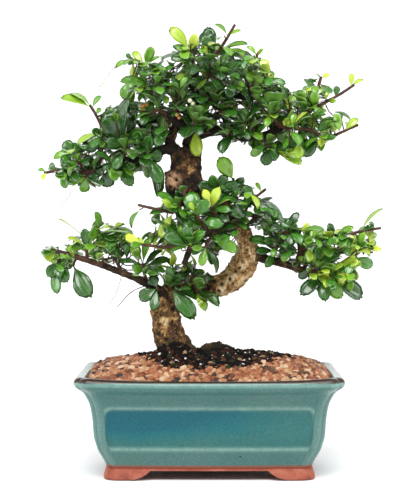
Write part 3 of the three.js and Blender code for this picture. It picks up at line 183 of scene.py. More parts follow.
SPRAYS: dict[str, Spray] = {
    "low_left_outer": Spray([[(103, 265, -13, 2.7), (80, 258, -12, 2.4), (62, 253, -11, 2.1), (51, 250, -10, 1.8)],
        [(62, 254, -11), (60, 258, -16), (58, 262, -19)], [(77, 257, -12), (74, 262, -15), (73, 266, -17)],
        [(87, 259, -12), (87, 250, -12), (89, 242, -12), (95, 236, -12), (100, 232, -14)]],
        [(1, 0.8, 43, 250, -25, 13, 1), (1, 1, 47, 277, -27, 13, 1), (1, 1, 68, 283, -20, 14, 0),
        (1, 0.9, 57, 295, -24, 12, 1), (2, 1, 92, 298, -20, 20, 0), (2, 0.8, 66, 266, -26, 8, 1),
        (3, 0.3, 84, 228, -18, 10, 1), (3, 0.4, 97, 225, -17, 10, 2), (3, 0.45, 56, 219, -14, 4, 2),
        (3, 0.3, 68, 236, -20, 5, 3), (3, 0.25, 65, 249, -16, 4, 2), (3, 0.45, 107, 245, -20, 4, 2),
        (3, 0.12, 96, 252, -18, 6, 1), (3, 1, 95, 211, -14, 5, 2), (3, 1, 134, 231, -16, 5, 2),
        (3, 0.95, 116, 241, -20, 6, 1)]),
    "right_rise": Spray([[(299, 257, -6, 2.3), (300, 250, -6, 2.1), (299, 236, -5, 1.5)], [(299, 237, -5),
        (300, 230, -7)], [(301, 250, -6), (312, 249, -8), (327, 244, -9), (345, 236, -10), (362, 231, -9),
        (381, 228, -8)]], [(1, 1, 310, 225, -10, 9, 3), (1, 0.9, 325, 229, -12, 7, 2), (1, 0.9, 291, 226, -12, 8, 0),
        (1, 0.3, 314, 243, -14, 9, 2), (2, 0.5, 354, 227, -15, 7, 2), (2, 0.45, 328, 223, -15, 7, 0),
        (2, 0.5, 344, 229, -18, 6, 1), (2, 0.78, 385, 209, -10, 5, 2), (2, 0.78, 375, 227, -14, 6, 0),
        (2, 0.2, 304, 262, -14, 9, 0)]),
    "right_outer": Spray([[(309, 273, -8, 2.5), (330, 270, -10, 1.9)], [(330, 269, -10), (342, 263, -11),
        (352, 256, -12), (359, 251, -12), (371, 247, -12)], [(321, 272, -9), (326, 276, -15)], [(313, 273, -8),
        (314, 266, -15)]], [(1, 1, 374, 237, -14, 6, 3), (1, 1, 362, 242, -16, 6, 3), (1, 1, 382, 250, -14, 6, 3),
        (1, 0.1, 360, 261, -20, 8, 3), (1, 0.45, 374, 266, -16, 12, 1), (1, 0.15, 356, 277, -17, 8, 0),
        (1, 0.5, 344, 249, -17, 8, 1), (2, 1, 364, 298, -19, 15, 0), (2, 1, 325, 301, -24, 14, 0),
        (2, 1, 342, 299, -17, 14, 1), (2, 0.8, 300, 295, -20, 12, 0), (3, 0.6, 298, 278, -16, 9, 0),
        (3, 1, 303, 256, -19, 9, 0), (3, 1, 322, 261, -22, 8, 2), (3, 1, 340, 254, -19, 8, 1)]),
    "left_outer": Spray([[(98, 170, -8, 2.3), (90, 172, -8, 2.1), (82, 173, -8, 1.8)], [(83, 173, -8), (70, 172, -9),
        (58, 171, -9), (44, 173, -9)], [(84, 173, -8), (79, 162, -9), (75, 152, -10)], [(89, 172, -8),
        (86, 177, -13)]], [(1, 0.7, 50, 163, -12, 7, 1), (1, 0.5, 66, 189, -14, 9, 1), (1, 0.3, 60, 176, -19, 8, 0),
        (2, 1, 63, 142, -13, 13, 0), (2, 0.95, 53, 158, -14, 7, 2), (2, 0.9, 90, 144, -12, 8, 1),
        (2, 0.5, 94, 158, -14, 9, 0), (2, 0.6, 60, 166, -15, 9, 1), (3, 1, 69, 181, -18, 11, 2),
        (3, 1, 83, 193, -17, 11, 1), (3, 0.8, 100, 179, -15, 8, 0)]),
    "crown_left_outer": Spray([[(168, 85, -6, 2.6), (151, 72, -7, 2.2)], [(154, 74, -6.5), (143, 65, -8),
        (130, 59, -9)], [(163, 82, -6), (158, 87, -14), (152, 87, -18)]], [(1, 1, 115, 68, -10, 7, 2),
        (1, 0.45, 133, 51, -10, 7, 2), (1, 0.4, 152, 46, -12, 10, 2), (1, 0.35, 159, 57, -14, 5, 2),
        (1, 0.1, 136, 72, -17, 9, 0), (2, 1, 120, 80, -22, 11, 2), (2, 0.9, 126, 92, -23, 8, 1),
        (2, 0.8, 140, 103, -22, 8, 0), (2, 0.4, 178, 100, -22, 9, 0), (2, 0.6, 158, 68, -20, 10, 0)]),
    "far_right_tips": Spray([[(295, 121, -9, 2.4), (309, 111, -9, 1.9)], [(309, 111, -9), (318, 106, -10),
        (330, 100, -11), (342, 93, -11), (354, 85, -11)], [(308, 112, -8), (315, 98, -6), (319, 84, -5),
        (321, 77, -5)]], [(1, 1, 352, 73, -12, 6, 3), (1, 0.6, 337, 86, -13, 7, 1), (1, 0.1, 302, 97, -14, 9, 0),
        (1, 0.15, 313, 90, -14, 11, 2), (1, 0.25, 303, 78, -11, 8, 0), (2, 0.4, 330, 92, -5, 6, 1),
        (2, 0.1, 322, 112, -2, 9, 0)]),
    "low_left_inner": Spray([[(149, 285, -9), (145, 275, -12), (143, 264, -14)]], [(1, 116, 260, -16, 5, 1),
        (1, 151, 237, -18, 6, 2), (0.9, 163, 251, -20, 8, 0), (0.8, 170, 259, -15, 6, 1), (0.7, 132, 268, -19, 11, 1),
        (0.6, 158, 273, -21, 6, 1), (0.3, 127, 287, -16, 6, 1)]),
    "low_left_back": Spray([[(122, 272, -12), (117, 263, 4), (112, 256, 18)]], more=(3, 21, 1)),
    "low_mid_left": Spray([[(160, 292, -6), (157, 288, -14)]], [(1, 139, 300, -21, 14, 0), (1, 153, 312, -22, 10, 0),
        (0.9, 151, 276, -18, 12, 0)]),
    "low_mid": Spray([[(173, 290, -3), (170, 287, -13)]], [(1, 195, 319, -24, 17, 0), (0.9, 199, 300, -17, 10, 0),
        (1, 168, 266, -17, 10, 1), (0.8, 181, 274, -14, 8, 1)]),
    "low_mid_right": Spray([[(192, 285, -2), (195, 291, -10)]], [(0.9, 202, 272, -14, 9, 0), (1, 220, 305, -15, 9, 0),
        (1, 206, 311, -17, 9, 2)]),
    "low_mid_back": Spray([[(184, 285, 6), (186, 278, 20)]], more=(3, 20, 0)),
    "centre_rosette": Spray([[(190, 251, -33), (189, 246, -39)]], [(1, 148, 219, -43, 9, 1), (1, 163, 236, -46, 10, 0),
        (1, 187, 224, -46, 12, 1), (1, 207, 231, -45, 9, 1), (0.8, 168, 253, -44, 6, 1), (1, 203, 249, -47, 8, 2)]),
    "centre_left": Spray([[(187, 187, -20), (181, 200, -26), (174, 212, -29), (160, 210, -29), (138, 205, -27)]],
        [(0.35, 156, 194, -35, 9, 1), (0.25, 176, 191, -33, 8, 0), (0.5, 162, 200, -38, 8, 3),
        (0.5, 150, 214, -33, 6, 1), (0.45, 186, 226, -37, 9, 0), (0.5, 160, 239, -36, 11, 2)]),
    "centre_thin": Spray([[(193, 243, -33), (178, 246, -30), (163, 247, -29), (138, 244, -28)]],
        [(1, 124, 235, -28, 9, 3), (0.95, 129, 246, -31, 6, 2), (0.9, 137, 237, -31, 5, 2)]),
    "centre_big": Spray([[(206, 232, -28), (202, 222, -35), (196, 216, -40)]], [(1, 189, 191, -45, 16, 1),
        (0.9, 207, 199, -45, 13, 1), (0.5, 222, 224, -44, 11, 1), (0.3, 176, 232, -36, 9, 1)]),
    "centre_young": Spray([[(222, 227, -20), (216, 216, -28), (211, 207, -33)]], [(1, 203, 189, -36, 9, 3),
        (1, 219, 187, -36, 9, 3), (0.9, 232, 211, -38, 8, 1), (0.8, 197, 209, -38, 8, 0),
        (0.6, 229, 221, -36, 10, 0)]),
    "centre_top": Spray([[(221, 210, -10), (218, 199, -15), (216, 190, -17)]], [(1, 197, 185, -21, 13, 0),
        (1, 211, 174, -24, 11, 0), (1, 227, 175, -22, 11, 0), (0.9, 240, 184, -24, 12, 0), (0.7, 205, 197, -27, 10, 0),
        (0.8, 231, 198, -27, 9, 1)]),
    "centre_pale": Spray([[(234, 222, -6), (237, 205, -7), (235, 190, -8), (233, 178, -9)]],
        [(1, 219, 157, -11, 16, 2), (0.85, 254, 195, -13, 8, 0), (0.8, 244, 178, -8, 9, 0),
        (0.3, 247, 224, -10, 6, 3)]),
    "centre_right": Spray([[(238, 227, -3), (245, 212, -6), (250, 202, -5), (266, 189, -3)]],
        [(0.6, 266, 207, -9, 7, 0), (0.35, 232, 214, -15, 14, 0), (0.9, 256, 182, -6, 4, 2),
        (0.5, 234, 203, -14, 11, 0), (0.15, 224, 240, -14, 10, 1)]),
    "centre_low": Spray([[(215, 229, -24), (210, 239, -29), (205, 248, -31)]], [(1, 214, 265, -33, 9, 0),
        (0.9, 217, 275, -28, 9, 0), (1, 201, 267, -36, 9, 2), (0.5, 239, 251, -33, 11, 1),
        (0.9, 192, 254, -40, 7, 1)]),
    "centre_back_up": Spray([[(222, 204, 32), (214, 197, 38)], [(226, 208, 26), (232, 196, 34)]], more=(3, 21, 0)),
    "centre_back_low": Spray([[(232, 218, 14), (224, 228, 26), (214, 236, 32)]], more=(3, 21, 0)),
    "centre_back_right": Spray([[(240, 231, 2), (250, 222, 16), (258, 214, 24)]], more=(3, 20, 0)),
    "right_long": Spray([[(271, 260, -3), (276, 250, -8), (281, 240, -9), (288, 227, -9)]], [(1, 265, 199, -12, 9, 0),
        (1, 299, 212, -11, 8, 0), (1, 268, 228, -14, 7, 0), (0.95, 299, 237, -17, 8, 0), (0.3, 254, 252, -12, 7, 0),
        (0.25, 266, 267, -14, 9, 1), (0.3, 297, 250, -18, 12, 0), (0.4, 249, 237, -13, 8, 1),
        (0.6, 263, 240, -17, 8, 0)]),
    "right_back": Spray([[(302, 270, -6), (308, 263, 10), (318, 256, 22)], [(306, 266, 4), (300, 256, 18)]],
        more=(3, 21, 0)),
    "right_back_low": Spray([[(278, 262, -3), (282, 256, 12), (287, 250, 24)]], more=(3, 20, 0)),
    "left_tower": Spray([[(97, 170, -8), (101, 157, -8), (102, 140, -7), (101, 126, -6), (96, 115, -6),
        (90, 105, -6)]], [(1, 60, 98, -8, 8, 2), (1, 71, 91, -5, 4, 2), (1, 102, 96, -8, 5, 2),
        (0.55, 119, 127, -12, 9, 0), (0.5, 91, 131, -14, 8, 0), (0.5, 77, 143, -12, 8, 2), (0.4, 116, 149, -16, 10, 0),
        (0.35, 87, 151, -15, 8, 1)]),
    "left_big": Spray([[(125, 160, -8), (124, 151, -14), (124, 144, -17)]], [(1, 104, 112, -25, 22, 0),
        (1, 127, 97, -22, 13, 0), (1, 136, 104, -17, 12, 0), (0.9, 144, 132, -24, 13, 1), (0.8, 106, 141, -22, 12, 0),
        (0.6, 136, 156, -24, 9, 1)]),
    "left_down": Spray([[(109, 166, -8), (107, 169, -13)]], [(1, 107, 188, -16, 15, 0), (0.9, 95, 176, -18, 9, 0)]),
    "left_down_inner": Spray([[(123, 161, -8), (121, 165, -14)]], [(1, 132, 186, -18, 13, 0),
        (0.9, 113, 174, -19, 12, 0), (0.7, 137, 168, -18, 9, 1)]),
    "left_near": Spray([[(151, 154, -10), (146, 156, -18)]], [(1, 163, 185, -22, 13, 0), (0.8, 157, 198, -16, 13, 0),
        (0.8, 163, 156, -22, 14, 0), (1, 150, 134, -22, 12, 1), (1, 134, 148, -26, 10, 1)]),
    "left_back_near": Spray([[(138, 159, -7), (131, 151, 8), (122, 143, 22)], [(134, 155, 0), (146, 146, 18)]],
        more=(3, 22, 0)),
    "left_back_far": Spray([[(100, 169, -6), (94, 161, 8), (85, 154, 20)], [(97, 165, 0), (104, 156, 14)]],
        more=(3, 21, 0)),
    "crown_top_left": Spray([[(196, 70, -1), (192, 60, -6), (190, 51, -8)]], [(1, 170, 27, -11, 10, 2),
        (1, 195, 34, -10, 10, 3), (0.9, 174, 46, -8, 6, 1), (0.6, 170, 60, -12, 10, 0), (0.5, 184, 74, -16, 10, 1)]),
    "crown_top": Spray([[(197, 67, 0), (206, 60, -2), (217, 53, -4), (226, 40, -4), (235, 25, -4)]],
        [(0.5, 201, 36, -9, 9, 1), (0.45, 207, 27, -4, 14, 0), (0.8, 215, 23, -4, 4, 2), (0.8, 241, 30, -6, 4, 2),
        (0.5, 236, 53, -9, 8, 1), (0.5, 249, 46, -5, 4, 2), (0.25, 222, 70, -12, 12, 0)]),
    "crown_mid": Spray([[(195, 85, 0), (204, 80, -12), (213, 76, -20)]], [(1, 240, 62, -22, 14, 0),
        (0.9, 222, 90, -27, 10, 1), (0.8, 200, 60, -22, 11, 0), (0.6, 190, 84, -27, 11, 1),
        (0.9, 228, 75, -28, 11, 0)]),
    "crown_right_a": Spray([[(251, 99, -9), (249, 88, -10), (245, 78, -10)]], [(1, 236, 68, -12, 9, 0),
        (1, 264, 80, -13, 9, 2), (0.7, 232, 88, -16, 10, 1), (0.95, 244, 67, -8, 6, 2)]),
    "crown_right_b": Spray([[(246, 98, -9), (255, 84, -4), (256, 68, -4), (257, 54, -4)]], [(0.75, 232, 55, -8, 6, 1),
        (1, 247, 46, -4, 4, 2), (0.3, 272, 92, -8, 10, 0)]),
    "crown_right_c": Spray([[(252, 99, -9), (264, 96, -10), (265, 84, -10), (266, 72, -10)]],
        [(1, 262, 59, -11, 12, 3), (0.7, 286, 83, -13, 6, 1), (0.3, 284, 98, -14, 10, 0),
        (0.3, 258, 112, -17, 11, 1)]),
    "crown_front_a": Spray([[(166, 114, -26), (158, 110, -32)], [(172, 118, -22), (178, 106, -34)]], more=(3, 22, 0)),
    "crown_front_b": Spray([[(192, 126, -1), (196, 132, -16), (194, 124, -30)]], [(0.35, 199, 157, -14, 14, 2)],
        more=(3, 21, 0)),
    "crown_front_c": Spray([[(211, 99, -4), (215, 106, -20), (222, 112, -30)], [(213, 102, -12), (206, 96, -28)]],
        more=(3, 22, 0)),
    "crown_back_left": Spray([[(160, 106, 32), (152, 98, 36)], [(168, 111, 27), (176, 98, 36)]], more=(3, 22, 0)),
    "crown_back_right": Spray([[(228, 92, 34), (238, 84, 38)], [(220, 97, 29), (214, 84, 36)]], more=(3, 22, 0)),
    "crown_back_top": Spray([[(196, 76, 1), (192, 66, 16), (186, 58, 24)], [(194, 71, 9), (206, 62, 22)]],
        more=(3, 21, 0)),
    "far_right_mid": Spray([[(288, 125, -10), (289, 114, -14), (289, 104, -12)]], [(1, 282, 87, -13, 9, 0),
        (0.9, 297, 97, -12, 6, 2), (0.7, 280, 100, -16, 9, 3), (0.6, 268, 97, -16, 10, 0),
        (0.4, 285, 128, -20, 10, 3)]),
    "far_right_low": Spray([[(284, 126, -10), (299, 129, -15), (312, 131, -14), (325, 139, -13), (340, 133, -13),
        (358, 125, -12)]], [(0.8, 334, 113, -15, 9, 2), (0.84, 358, 118, -13, 7, 2), (0.45, 332, 117, -18, 11, 1),
        (0.48, 303, 157, -16, 14, 0), (0.6, 321, 152, -14, 6, 2), (0.4, 286, 147, -18, 11, 0),
        (0.56, 336, 137, -19, 7, 1)]),
    "right_under": Spray([[(262, 137, -11), (268, 146, -15), (277, 151, -17)]], [(1, 302, 165, -20, 10, 2),
        (0.7, 264, 166, -20, 13, 0), (0.4, 250, 156, -17, 9, 2), (0.9, 290, 148, -24, 9, 0)]),
    "right_front": Spray([[(243, 137, -11), (240, 130, -22), (246, 124, -29)], [(241, 133, -17), (230, 134, -28)]],
        more=(3, 22, 0)),
    "right_front_far": Spray([[(280, 128, -10), (276, 122, -21), (272, 116, -27)], [(278, 125, -15), (290, 130, -26)]],
        more=(3, 22, 1)),
    "right_back_top": Spray([[(266, 118, 26), (276, 112, 30)], [(256, 121, 20), (252, 108, 30)]], more=(3, 22, 0)),
    "right_back_far": Spray([[(290, 123, -9), (294, 117, 8), (300, 108, 20)], [(294, 117, 7), (306, 118, 18)]],
        more=(3, 21, 0)),
}

# Growth of the twigs and leaves
GAP = 0.3
RIB_DEPTH = 0.09
RIBBED_SIDES = 10
TWIG_SIDES = 3
TWIG_ROOT = 1.5
TWIG_END = 1.1
NECK_DEPTH = 0.93
DEPTH_SPREAD = 16
BLADE_THICKNESS = 0.7
SLIMMEST = 0.4
ARCH = 0.07
CLEARANCE = 0.25
SPIRAL_TURN = math.radians(137.5)
SMALL_BLADE = 9.5
# Least length of a leaf for each half outline, as shares of its length and of its width
BLADE_OUTLINES = (
    (22, ((0.6, 0.5), (0.84, 0.45), (0.88, 0.27))),
    (SMALL_BLADE, ((0.62, 0.5), (0.87, 0.38))),
    (0, ((0.65, 0.5),)),
)
# Ways to bend clear, both ways in depth where there is one: depth, height and share of the length
BENDS = [
    (way * depth, height, share)
    for depth, height, share in (
        (0, 0, 1), (3, 0, 1), (6, 0, 1), (10, 0, 1), (14, 0, 1), (4, 3, 0.9), (4, -3, 0.9), (9, 3, 0.85), (18, 0, 1),
        (0, 0, 0.75), (7, 0, 0.75),
    )
    for way in ((-1, 1) if depth else (1,))
]
# Short shoots with a tuft of leaves each, in millimetres, and how far apart they stand
SHOOT_SPACING = 8
SHOOT_REACH = 27
SHOOT_CLEARANCE = 8
SHOOT_LEAF = 14
TUFT = 5
YOUNG_RIGHT = 0.35
YOUNG_LEFT = 0.5
# Leaf masses in the front view: outline as columns and rows, range of depths, and how many shoots are tried
MASSES = {
    "upper_left": Mass([
        (42, 168), (60, 171), (67, 160), (59, 150), (68, 143), (86, 139), (100, 127), (98, 114), (108, 110),
        (112, 103), (124, 99), (134, 104), (150, 104), (170, 118), (166, 136), (158, 146), (158, 162),
        (150, 186), (146, 178), (136, 172), (130, 184), (118, 180), (110, 186), (92, 188), (70, 187), (60, 180),
    ], (-32, 34), 300),
    "crown": Mass([
        (122, 82), (140, 74), (136, 66), (120, 67), (124, 61), (144, 60), (158, 64), (162, 55), (174, 52),
        (180, 44), (198, 43), (206, 32), (214, 34), (222, 44), (236, 50), (252, 54), (268, 64), (276, 78),
        (286, 92), (276, 120), (258, 140), (236, 148), (212, 136), (202, 138), (180, 136), (166, 132),
        (150, 116), (140, 100), (130, 92),
    ], (-38, 40), 600),
    "right": Mass([
        (262, 70), (276, 80), (296, 94), (304, 82), (318, 84), (324, 92), (338, 90), (324, 102), (328, 112),
        (344, 118), (354, 121), (344, 130), (330, 138), (322, 148), (304, 154), (300, 162), (284, 160),
        (268, 162), (250, 150), (256, 130), (264, 110),
    ], (-30, 34), 300),
    "centre": Mass([
        (148, 212), (160, 212), (172, 200), (180, 184), (196, 178), (218, 182), (240, 184), (256, 192),
        (268, 204), (280, 216), (276, 226), (262, 232), (246, 234), (234, 240), (226, 252), (214, 262),
        (204, 256), (190, 252), (176, 250), (164, 262), (150, 250), (142, 238), (152, 226),
    ], (-36, 34), 360),
    "lower_left": Mass([
        (42, 246), (66, 244), (72, 232), (84, 230), (94, 224), (98, 214), (106, 224), (124, 222), (134, 232),
        (140, 248), (126, 262), (112, 268), (94, 264), (80, 260), (66, 262), (62, 284), (54, 290), (48, 270),
    ], (-24, 26), 150),
    "lower_middle": Mass([
        (136, 262), (150, 262), (166, 268), (186, 262), (204, 268), (216, 278), (216, 298), (204, 306),
        (196, 298), (178, 296), (164, 296), (150, 300), (142, 292), (144, 280), (130, 276),
    ], (-24, 30), 200),
    "lower_right": Mass([
        (262, 238), (270, 224), (284, 218), (298, 214), (304, 226), (320, 227), (338, 228), (352, 230),
        (368, 226), (376, 238), (374, 252), (366, 262), (370, 268), (352, 272), (358, 284), (360, 296),
        (340, 294), (324, 296), (306, 294), (310, 282), (298, 274), (282, 264), (268, 258),
    ], (-28, 30), 330),
}


# Leaves too small for the solids, by their spray
SMALL_LEAVES: dict[str, list[Row]] = {
    "crown_left_outer": [(1, 1, 126, 54, -12, 5, 1)],
    "left_outer": [(1, 1, 37, 170, -10, 4, 2), (1, 0.95, 43, 180, -11, 5, 3)],
    "crown_right_b": [(1, 264, 50, -6, 4, 2)],
    "far_right_tips": [
        (2, 1, 329, 74, -6, 5, 3), (2, 0.9, 313, 74, -5, 3, 1), (1, 0.45, 336, 101, -14, 5, 3),
        (1, 1, 364, 80, -11, 4, 3),
    ],
    "right_rise": [(2, 0.35, 328, 250, -14, 7, 0), (2, 0.95, 369, 222, -8, 4, 1)],
    "left_tower": [(0.8, 101, 108, -10, 5, 2)],
    "crown_right_c": [(0.75, 272, 74, -13, 7, 3)],
}

# Fine stems as routes of points with their radius, which hang or climb free of the leaves
TENDRILS: dict[str, list[Row]] = {
    "crown_thread": [(117, 66, -12, 0.3), (112, 71, -12, 0.25), (107, 77, -12, 0.22), (102, 83, -12, 0.2)],
    "left_thread": [(71, 192, -10, 0.25), (68, 198, -10, 0.22), (63, 203, -10, 0.2), (60, 208, -10, 0.2)],
    "low_root_thread": [
        (150, 285, -10, 0.45), (142, 287, -12, 0.4), (133, 291, -13, 0.35), (126, 297, -13, 0.35),
        (120, 304, -13, 0.3), (117, 307, -13, 0.3),
    ],
    "low_thread": [(121, 277, -13, 0.25), (119, 285, -13, 0.22), (115, 295, -13, 0.2), (110, 304, -13, 0.2)],
}


# Buds and young berries: column, row, depth, radius in millimetres and ripeness
BUDS: dict[str, Row] = {
    "thread_bud": (102, 83, -12, 1.4, 0.0), "thread_bud_side": (104.5, 85, -12, 1.1, 0.0),
    "thread_bud_low": (100.5, 86, -12, 0.9, 0.3), "crown_bud": (190, 101, -38, 1.8, 0.1),
    "crown_bud_side": (193, 104, -38, 1.5, 0.2), "crown_bud_low": (177, 115, -38, 1.5, 0.7),
    "crown_bud_pink": (179, 118, -38, 1.2, 0.8), "left_bud": (143, 107, -28, 1.6, 0.9),
    "left_bud_side": (147, 105, -28, 1.3, 0.8), "low_berry": (198, 300, -30, 1.3, 0.45),
    "low_berry_side": (201, 302, -30, 1.4, 0.5), "low_berry_under": (199, 304, -30, 1.2, 0.4),
    "right_bud": (258, 53, -6, 1.1, 0.7), "outer_bud": (370, 226, -14, 1.0, 0.2),
}

NODE_PREFIXES = ("ShaderNode", "GeometryNode", "FunctionNode", "Node")


def linear(code: str) -> tuple[float, float, float, float]:
    """Turns an sRGB hex colour to linear.

    Args:
        code: The colour as "#rrggbb".

    Returns:
        Red, green, blue and alpha.
    """
    parts = [int(code[i:i + 2], 16) / 255 for i in (1, 3, 5)]
    red, green, blue = (c / 12.92 if c <= 0.04045 else ((c + 0.055) / 1.055) ** 2.4 for c in parts)
    return red, green, blue, 1.0


def wire(node: Node, links: dict[str | int, object] | Sequence[object]) -> Node:
    """Links or sets inputs of a node.

    Args:
        node: The node.
        links: For each input, by name or in order, a node, a socket, a value, or a tuple of what
            adds one more node.

    Returns:
        The same node.
    """
    for key, value in links.items() if isinstance(links, dict) else enumerate(links):
        by_name = isinstance(key, str)
        socket = next(s for s in node.inputs if s.enabled and s.name == key) if by_name else node.inputs[key]
        if isinstance(value, tuple) and isinstance(value[0], str):
            value = add_node(node.id_data, *value)
        if isinstance(value, Node):
            value = next(output for output in value.outputs if output.enabled)
        if isinstance(value, NodeSocket):
            node.id_data.links.new(value, socket)
        else:
            socket.default_value = value
    return node


def add_node(tree: NodeTree, kind: str, *links: object, **settings: object) -> Node:
    """Adds a node with its settings and links.

    Args:
        tree: The tree that gets the node.
        kind: The node's type name without its prefix, then its operation or its data type. An
            operation alone makes a math node.
        links: What wire takes, as one dictionary or in the order of the inputs.
        settings: Properties that are set before the inputs.

    Returns:
        The new node.
    """
    name, _, mode = ("Math " * kind.isupper() + kind).partition(" ")
    made = tree.nodes.new(next(start + name for start in NODE_PREFIXES if hasattr(bpy.types, start + name)))
    if mode:
        setattr(made, "operation" if hasattr(made, "operation") else "data_type", mode)
    for label, value in settings.items():
        setattr(made, label, value)
    return wire(made, links[0] if links and isinstance(links[0], dict) else links)


def set_ramp(node: Node, stops: Iterable[tuple[float, str]], steps: bool = False) -> Node:
    """Gives a colour ramp its stops.

    Args:
        node: The colour ramp.
        stops: Places and hex colours.
        steps: Whether each colour stays flat up to the next stop.

    Returns:
        The same node.
    """
    ramp = node.color_ramp
    ramp.interpolation = "CONSTANT" if steps else "LINEAR"
    for i, (place, code) in enumerate(stops):
        stop = ramp.elements[i] if i < 2 else ramp.elements.new(place)
        stop.position, stop.color = place, linear(code)
    return node


def set_curve(node: Node, points: Sequence[tuple[float, float]]) -> Node:
    """Gives a float curve node its points.

    Args:
        node: The float curve.
        points: Its points; the first two are its ends.

    Returns:
        The same node.
    """
    curve = node.mapping.curves[0]
    for i, (x, y) in enumerate(points):
        if i < 2:
            curve.points[i].location = (x, y)
        else:
            curve.points.new(x, y)
    node.mapping.update()
    return node


def new_tree(name: str, sizes: dict[str, float]) -> tuple[Callable, dict[str, NodeSocket]]:
    """Starts a geometry node tree with named inputs.

    Args:
        name: The tree's name.
        sizes: Input names with their usual values; a whole number makes an integer input.

    Returns:
        What adds a node to the tree, and what the tree is given: geometry, material and the inputs.
    """
    tree = bpy.data.node_groups.new(name, "GeometryNodeTree")
    for way, label in (("INPUT", "Geometry"), ("INPUT", "Material"), ("OUTPUT", "Geometry")):
        tree.interface.new_socket(label, in_out=way, socket_type=f"NodeSocket{label}")
    for label, value in sizes.items():
        kind = "NodeSocketInt" if isinstance(value, int) else "NodeSocketFloat"
        tree.interface.new_socket(label, in_out="INPUT", socket_type=kind).default_value = value
    return partial(add_node, tree), tree.nodes.new("NodeGroupInput").outputs


def end_tree(given: dict[str, NodeSocket], last: Node | tuple) -> NodeTree:
    """Ends a tree in real geometry that wears its material.

    Args:
        given: What the tree is given.
        last: The node that ends it, or what adds one.

    Returns:
        The tree.
    """
    tree = given["Geometry"].id_data
    dressed = {"Geometry": ("RealizeInstances", last), "Material": given["Material"]}
    add_node(tree, "GroupOutput", ("SetMaterial", dressed))
    return tree


def make_object(
    name: str,
    points: Array,
    faces: Sequence[Sequence[int]],
    values: dict[str, Array] | None = None,
) -> Object:
    """Makes a mesh object from points in millimetres round the middle of the pot.

    Args:
        name: The object's name.
        points: Points as rows of x, y and z.
        faces: Corners of each face, as indices of points.
        values: Attributes of the points, as one number or three numbers for each.

    Returns:
        The new object, at the origin.
    """
    mesh = bpy.data.meshes.new(name)
    mesh.from_pydata((np.asarray(points) + POT_MIDDLE) * MM, [], faces)
    for label, numbers in (values or {}).items():
        set_values(mesh, label, numbers)
    mesh.shade_smooth()
    return link(name, mesh)


def set_values(mesh: Mesh, label: str, numbers: Array) -> None:
    """Stores one number or one vector for each point of a mesh.

    Args:
        mesh: The mesh.
        label: The name to store them under.
        numbers: The numbers or vectors.
    """
    vectors = np.ndim(numbers) == 2
    attribute = mesh.attributes.new(label, "FLOAT_VECTOR" if vectors else "FLOAT", "POINT")
    attribute.data.foreach_set("vector" if vectors else "value", np.asarray(numbers, np.float32).ravel())


def points_of(mesh: Mesh) -> Array:
    """The points of a mesh in millimetres round the middle of the pot.

    Args:
        mesh: The mesh.

    Returns:
        Its points.
    """
    flat = np.zeros(3 * len(mesh.vertices), np.float32)
    mesh.vertices.foreach_get("co", flat)
    return flat.reshape(-1, 3) / MM - POT_MIDDLE


def finish_with(made: Object, tree: NodeTree, inputs: dict[str, object]) -> Object:
    """Runs a geometry node tree on an object and settles the result.

    Args:
        made: The object.
        tree: The tree.
        inputs: Values for its named inputs.

    Returns:
        The plain object.
    """
    modifier = made.modifiers.new(tree.name, "NODES")
    modifier.node_group = tree
    for item in tree.interface.items_tree:
        if item.in_out == "INPUT" and item.name in inputs:
            modifier[item.identifier] = inputs[item.name]
    return settle(made)


def settle(made: Object) -> Object:
    """Turns an object with live modifiers into a plain mesh object of the same name.

    Args:
        made: The object.

    Returns:
        The plain object.
    """
    depsgraph = bpy.context.evaluated_depsgraph_get()
    ready = made.evaluated_get(depsgraph)
    mesh = bpy.data.meshes.new_from_object(ready, preserve_all_data_layers=True, depsgraph=depsgraph)
    name = made.name
    bpy.data.objects.remove(made)
    mesh.name = name
    return link(name, mesh)


def link(name: str, data: bpy.types.ID) -> Object:
    """Makes an object in the scene from its data.

    Args:
        name: The object's name.
        data: Its mesh, curve, lamp or camera.

    Returns:
        The object.
    """
    made = bpy.data.objects.new(name, data)
    bpy.context.scene.collection.objects.link(made)
    return made


def place(piece: Object, slot: Slot, *nodes: str) -> Object:
    """Hands a finished piece to the frame.

    Args:
        piece: The piece.
        slot: Its material slot; not used.
        nodes: The solids that it stands for.

    Returns:
        The same piece.
    """
    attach(piece, BODY)
    if nodes:
        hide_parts(*nodes)
    log.info("%s: %d faces", piece.name, len(piece.data.polygons))
    return piece


def new_material(name: str, **sockets: object) -> tuple[Material, Callable, Node, NodeSocket]:
    """Starts a material.

    Args:
        name: The real finish.
        sockets: Plain values for sockets of its shader, by their names in snake case.

    Returns:
        The material, what adds a node to it, its shader and the place on the object in metres.
    """
    material = bpy.data.materials.new(name)
    material.use_nodes = True
    add = partial(add_node, material.node_tree)
    names = {label.replace("_", " ").title().replace("Ior", "IOR"): value for label, value in sockets.items()}
    shader = wire(material.node_tree.nodes["Principled BSDF"], names)
    return material, add, shader, add("TexCoord").outputs["Object"]


def smooth_path(points: Sequence[Sequence[float]], per_span: int) -> Array:
    """A smooth curve through points.

    Args:
        points: The points.
        per_span: Steps in each span between two of them.

    Returns:
        The curve's points.
    """
    spots = np.array(points, float)
    last = len(spots) - 1
    run = np.arange(last * per_span + 1) / (last * per_span) * last
    i = np.minimum(np.floor(run).astype(int), last - 1)
    weight = (run - i)[:, None]
    longer = np.vstack([2 * spots[0] - spots[1], spots, 2 * spots[-1] - spots[-2]])
    before, start, end, after = (longer[i + k] for k in range(4))
    pull, push = 0.5 * (end - before), 0.5 * (after - start)
    square, cube = weight * weight, weight * weight * weight
    bend = (-3 * start + 3 * end - 2 * pull - push) * square + (2 * start - 2 * end + pull + push) * cube
    return start + pull * weight + bend


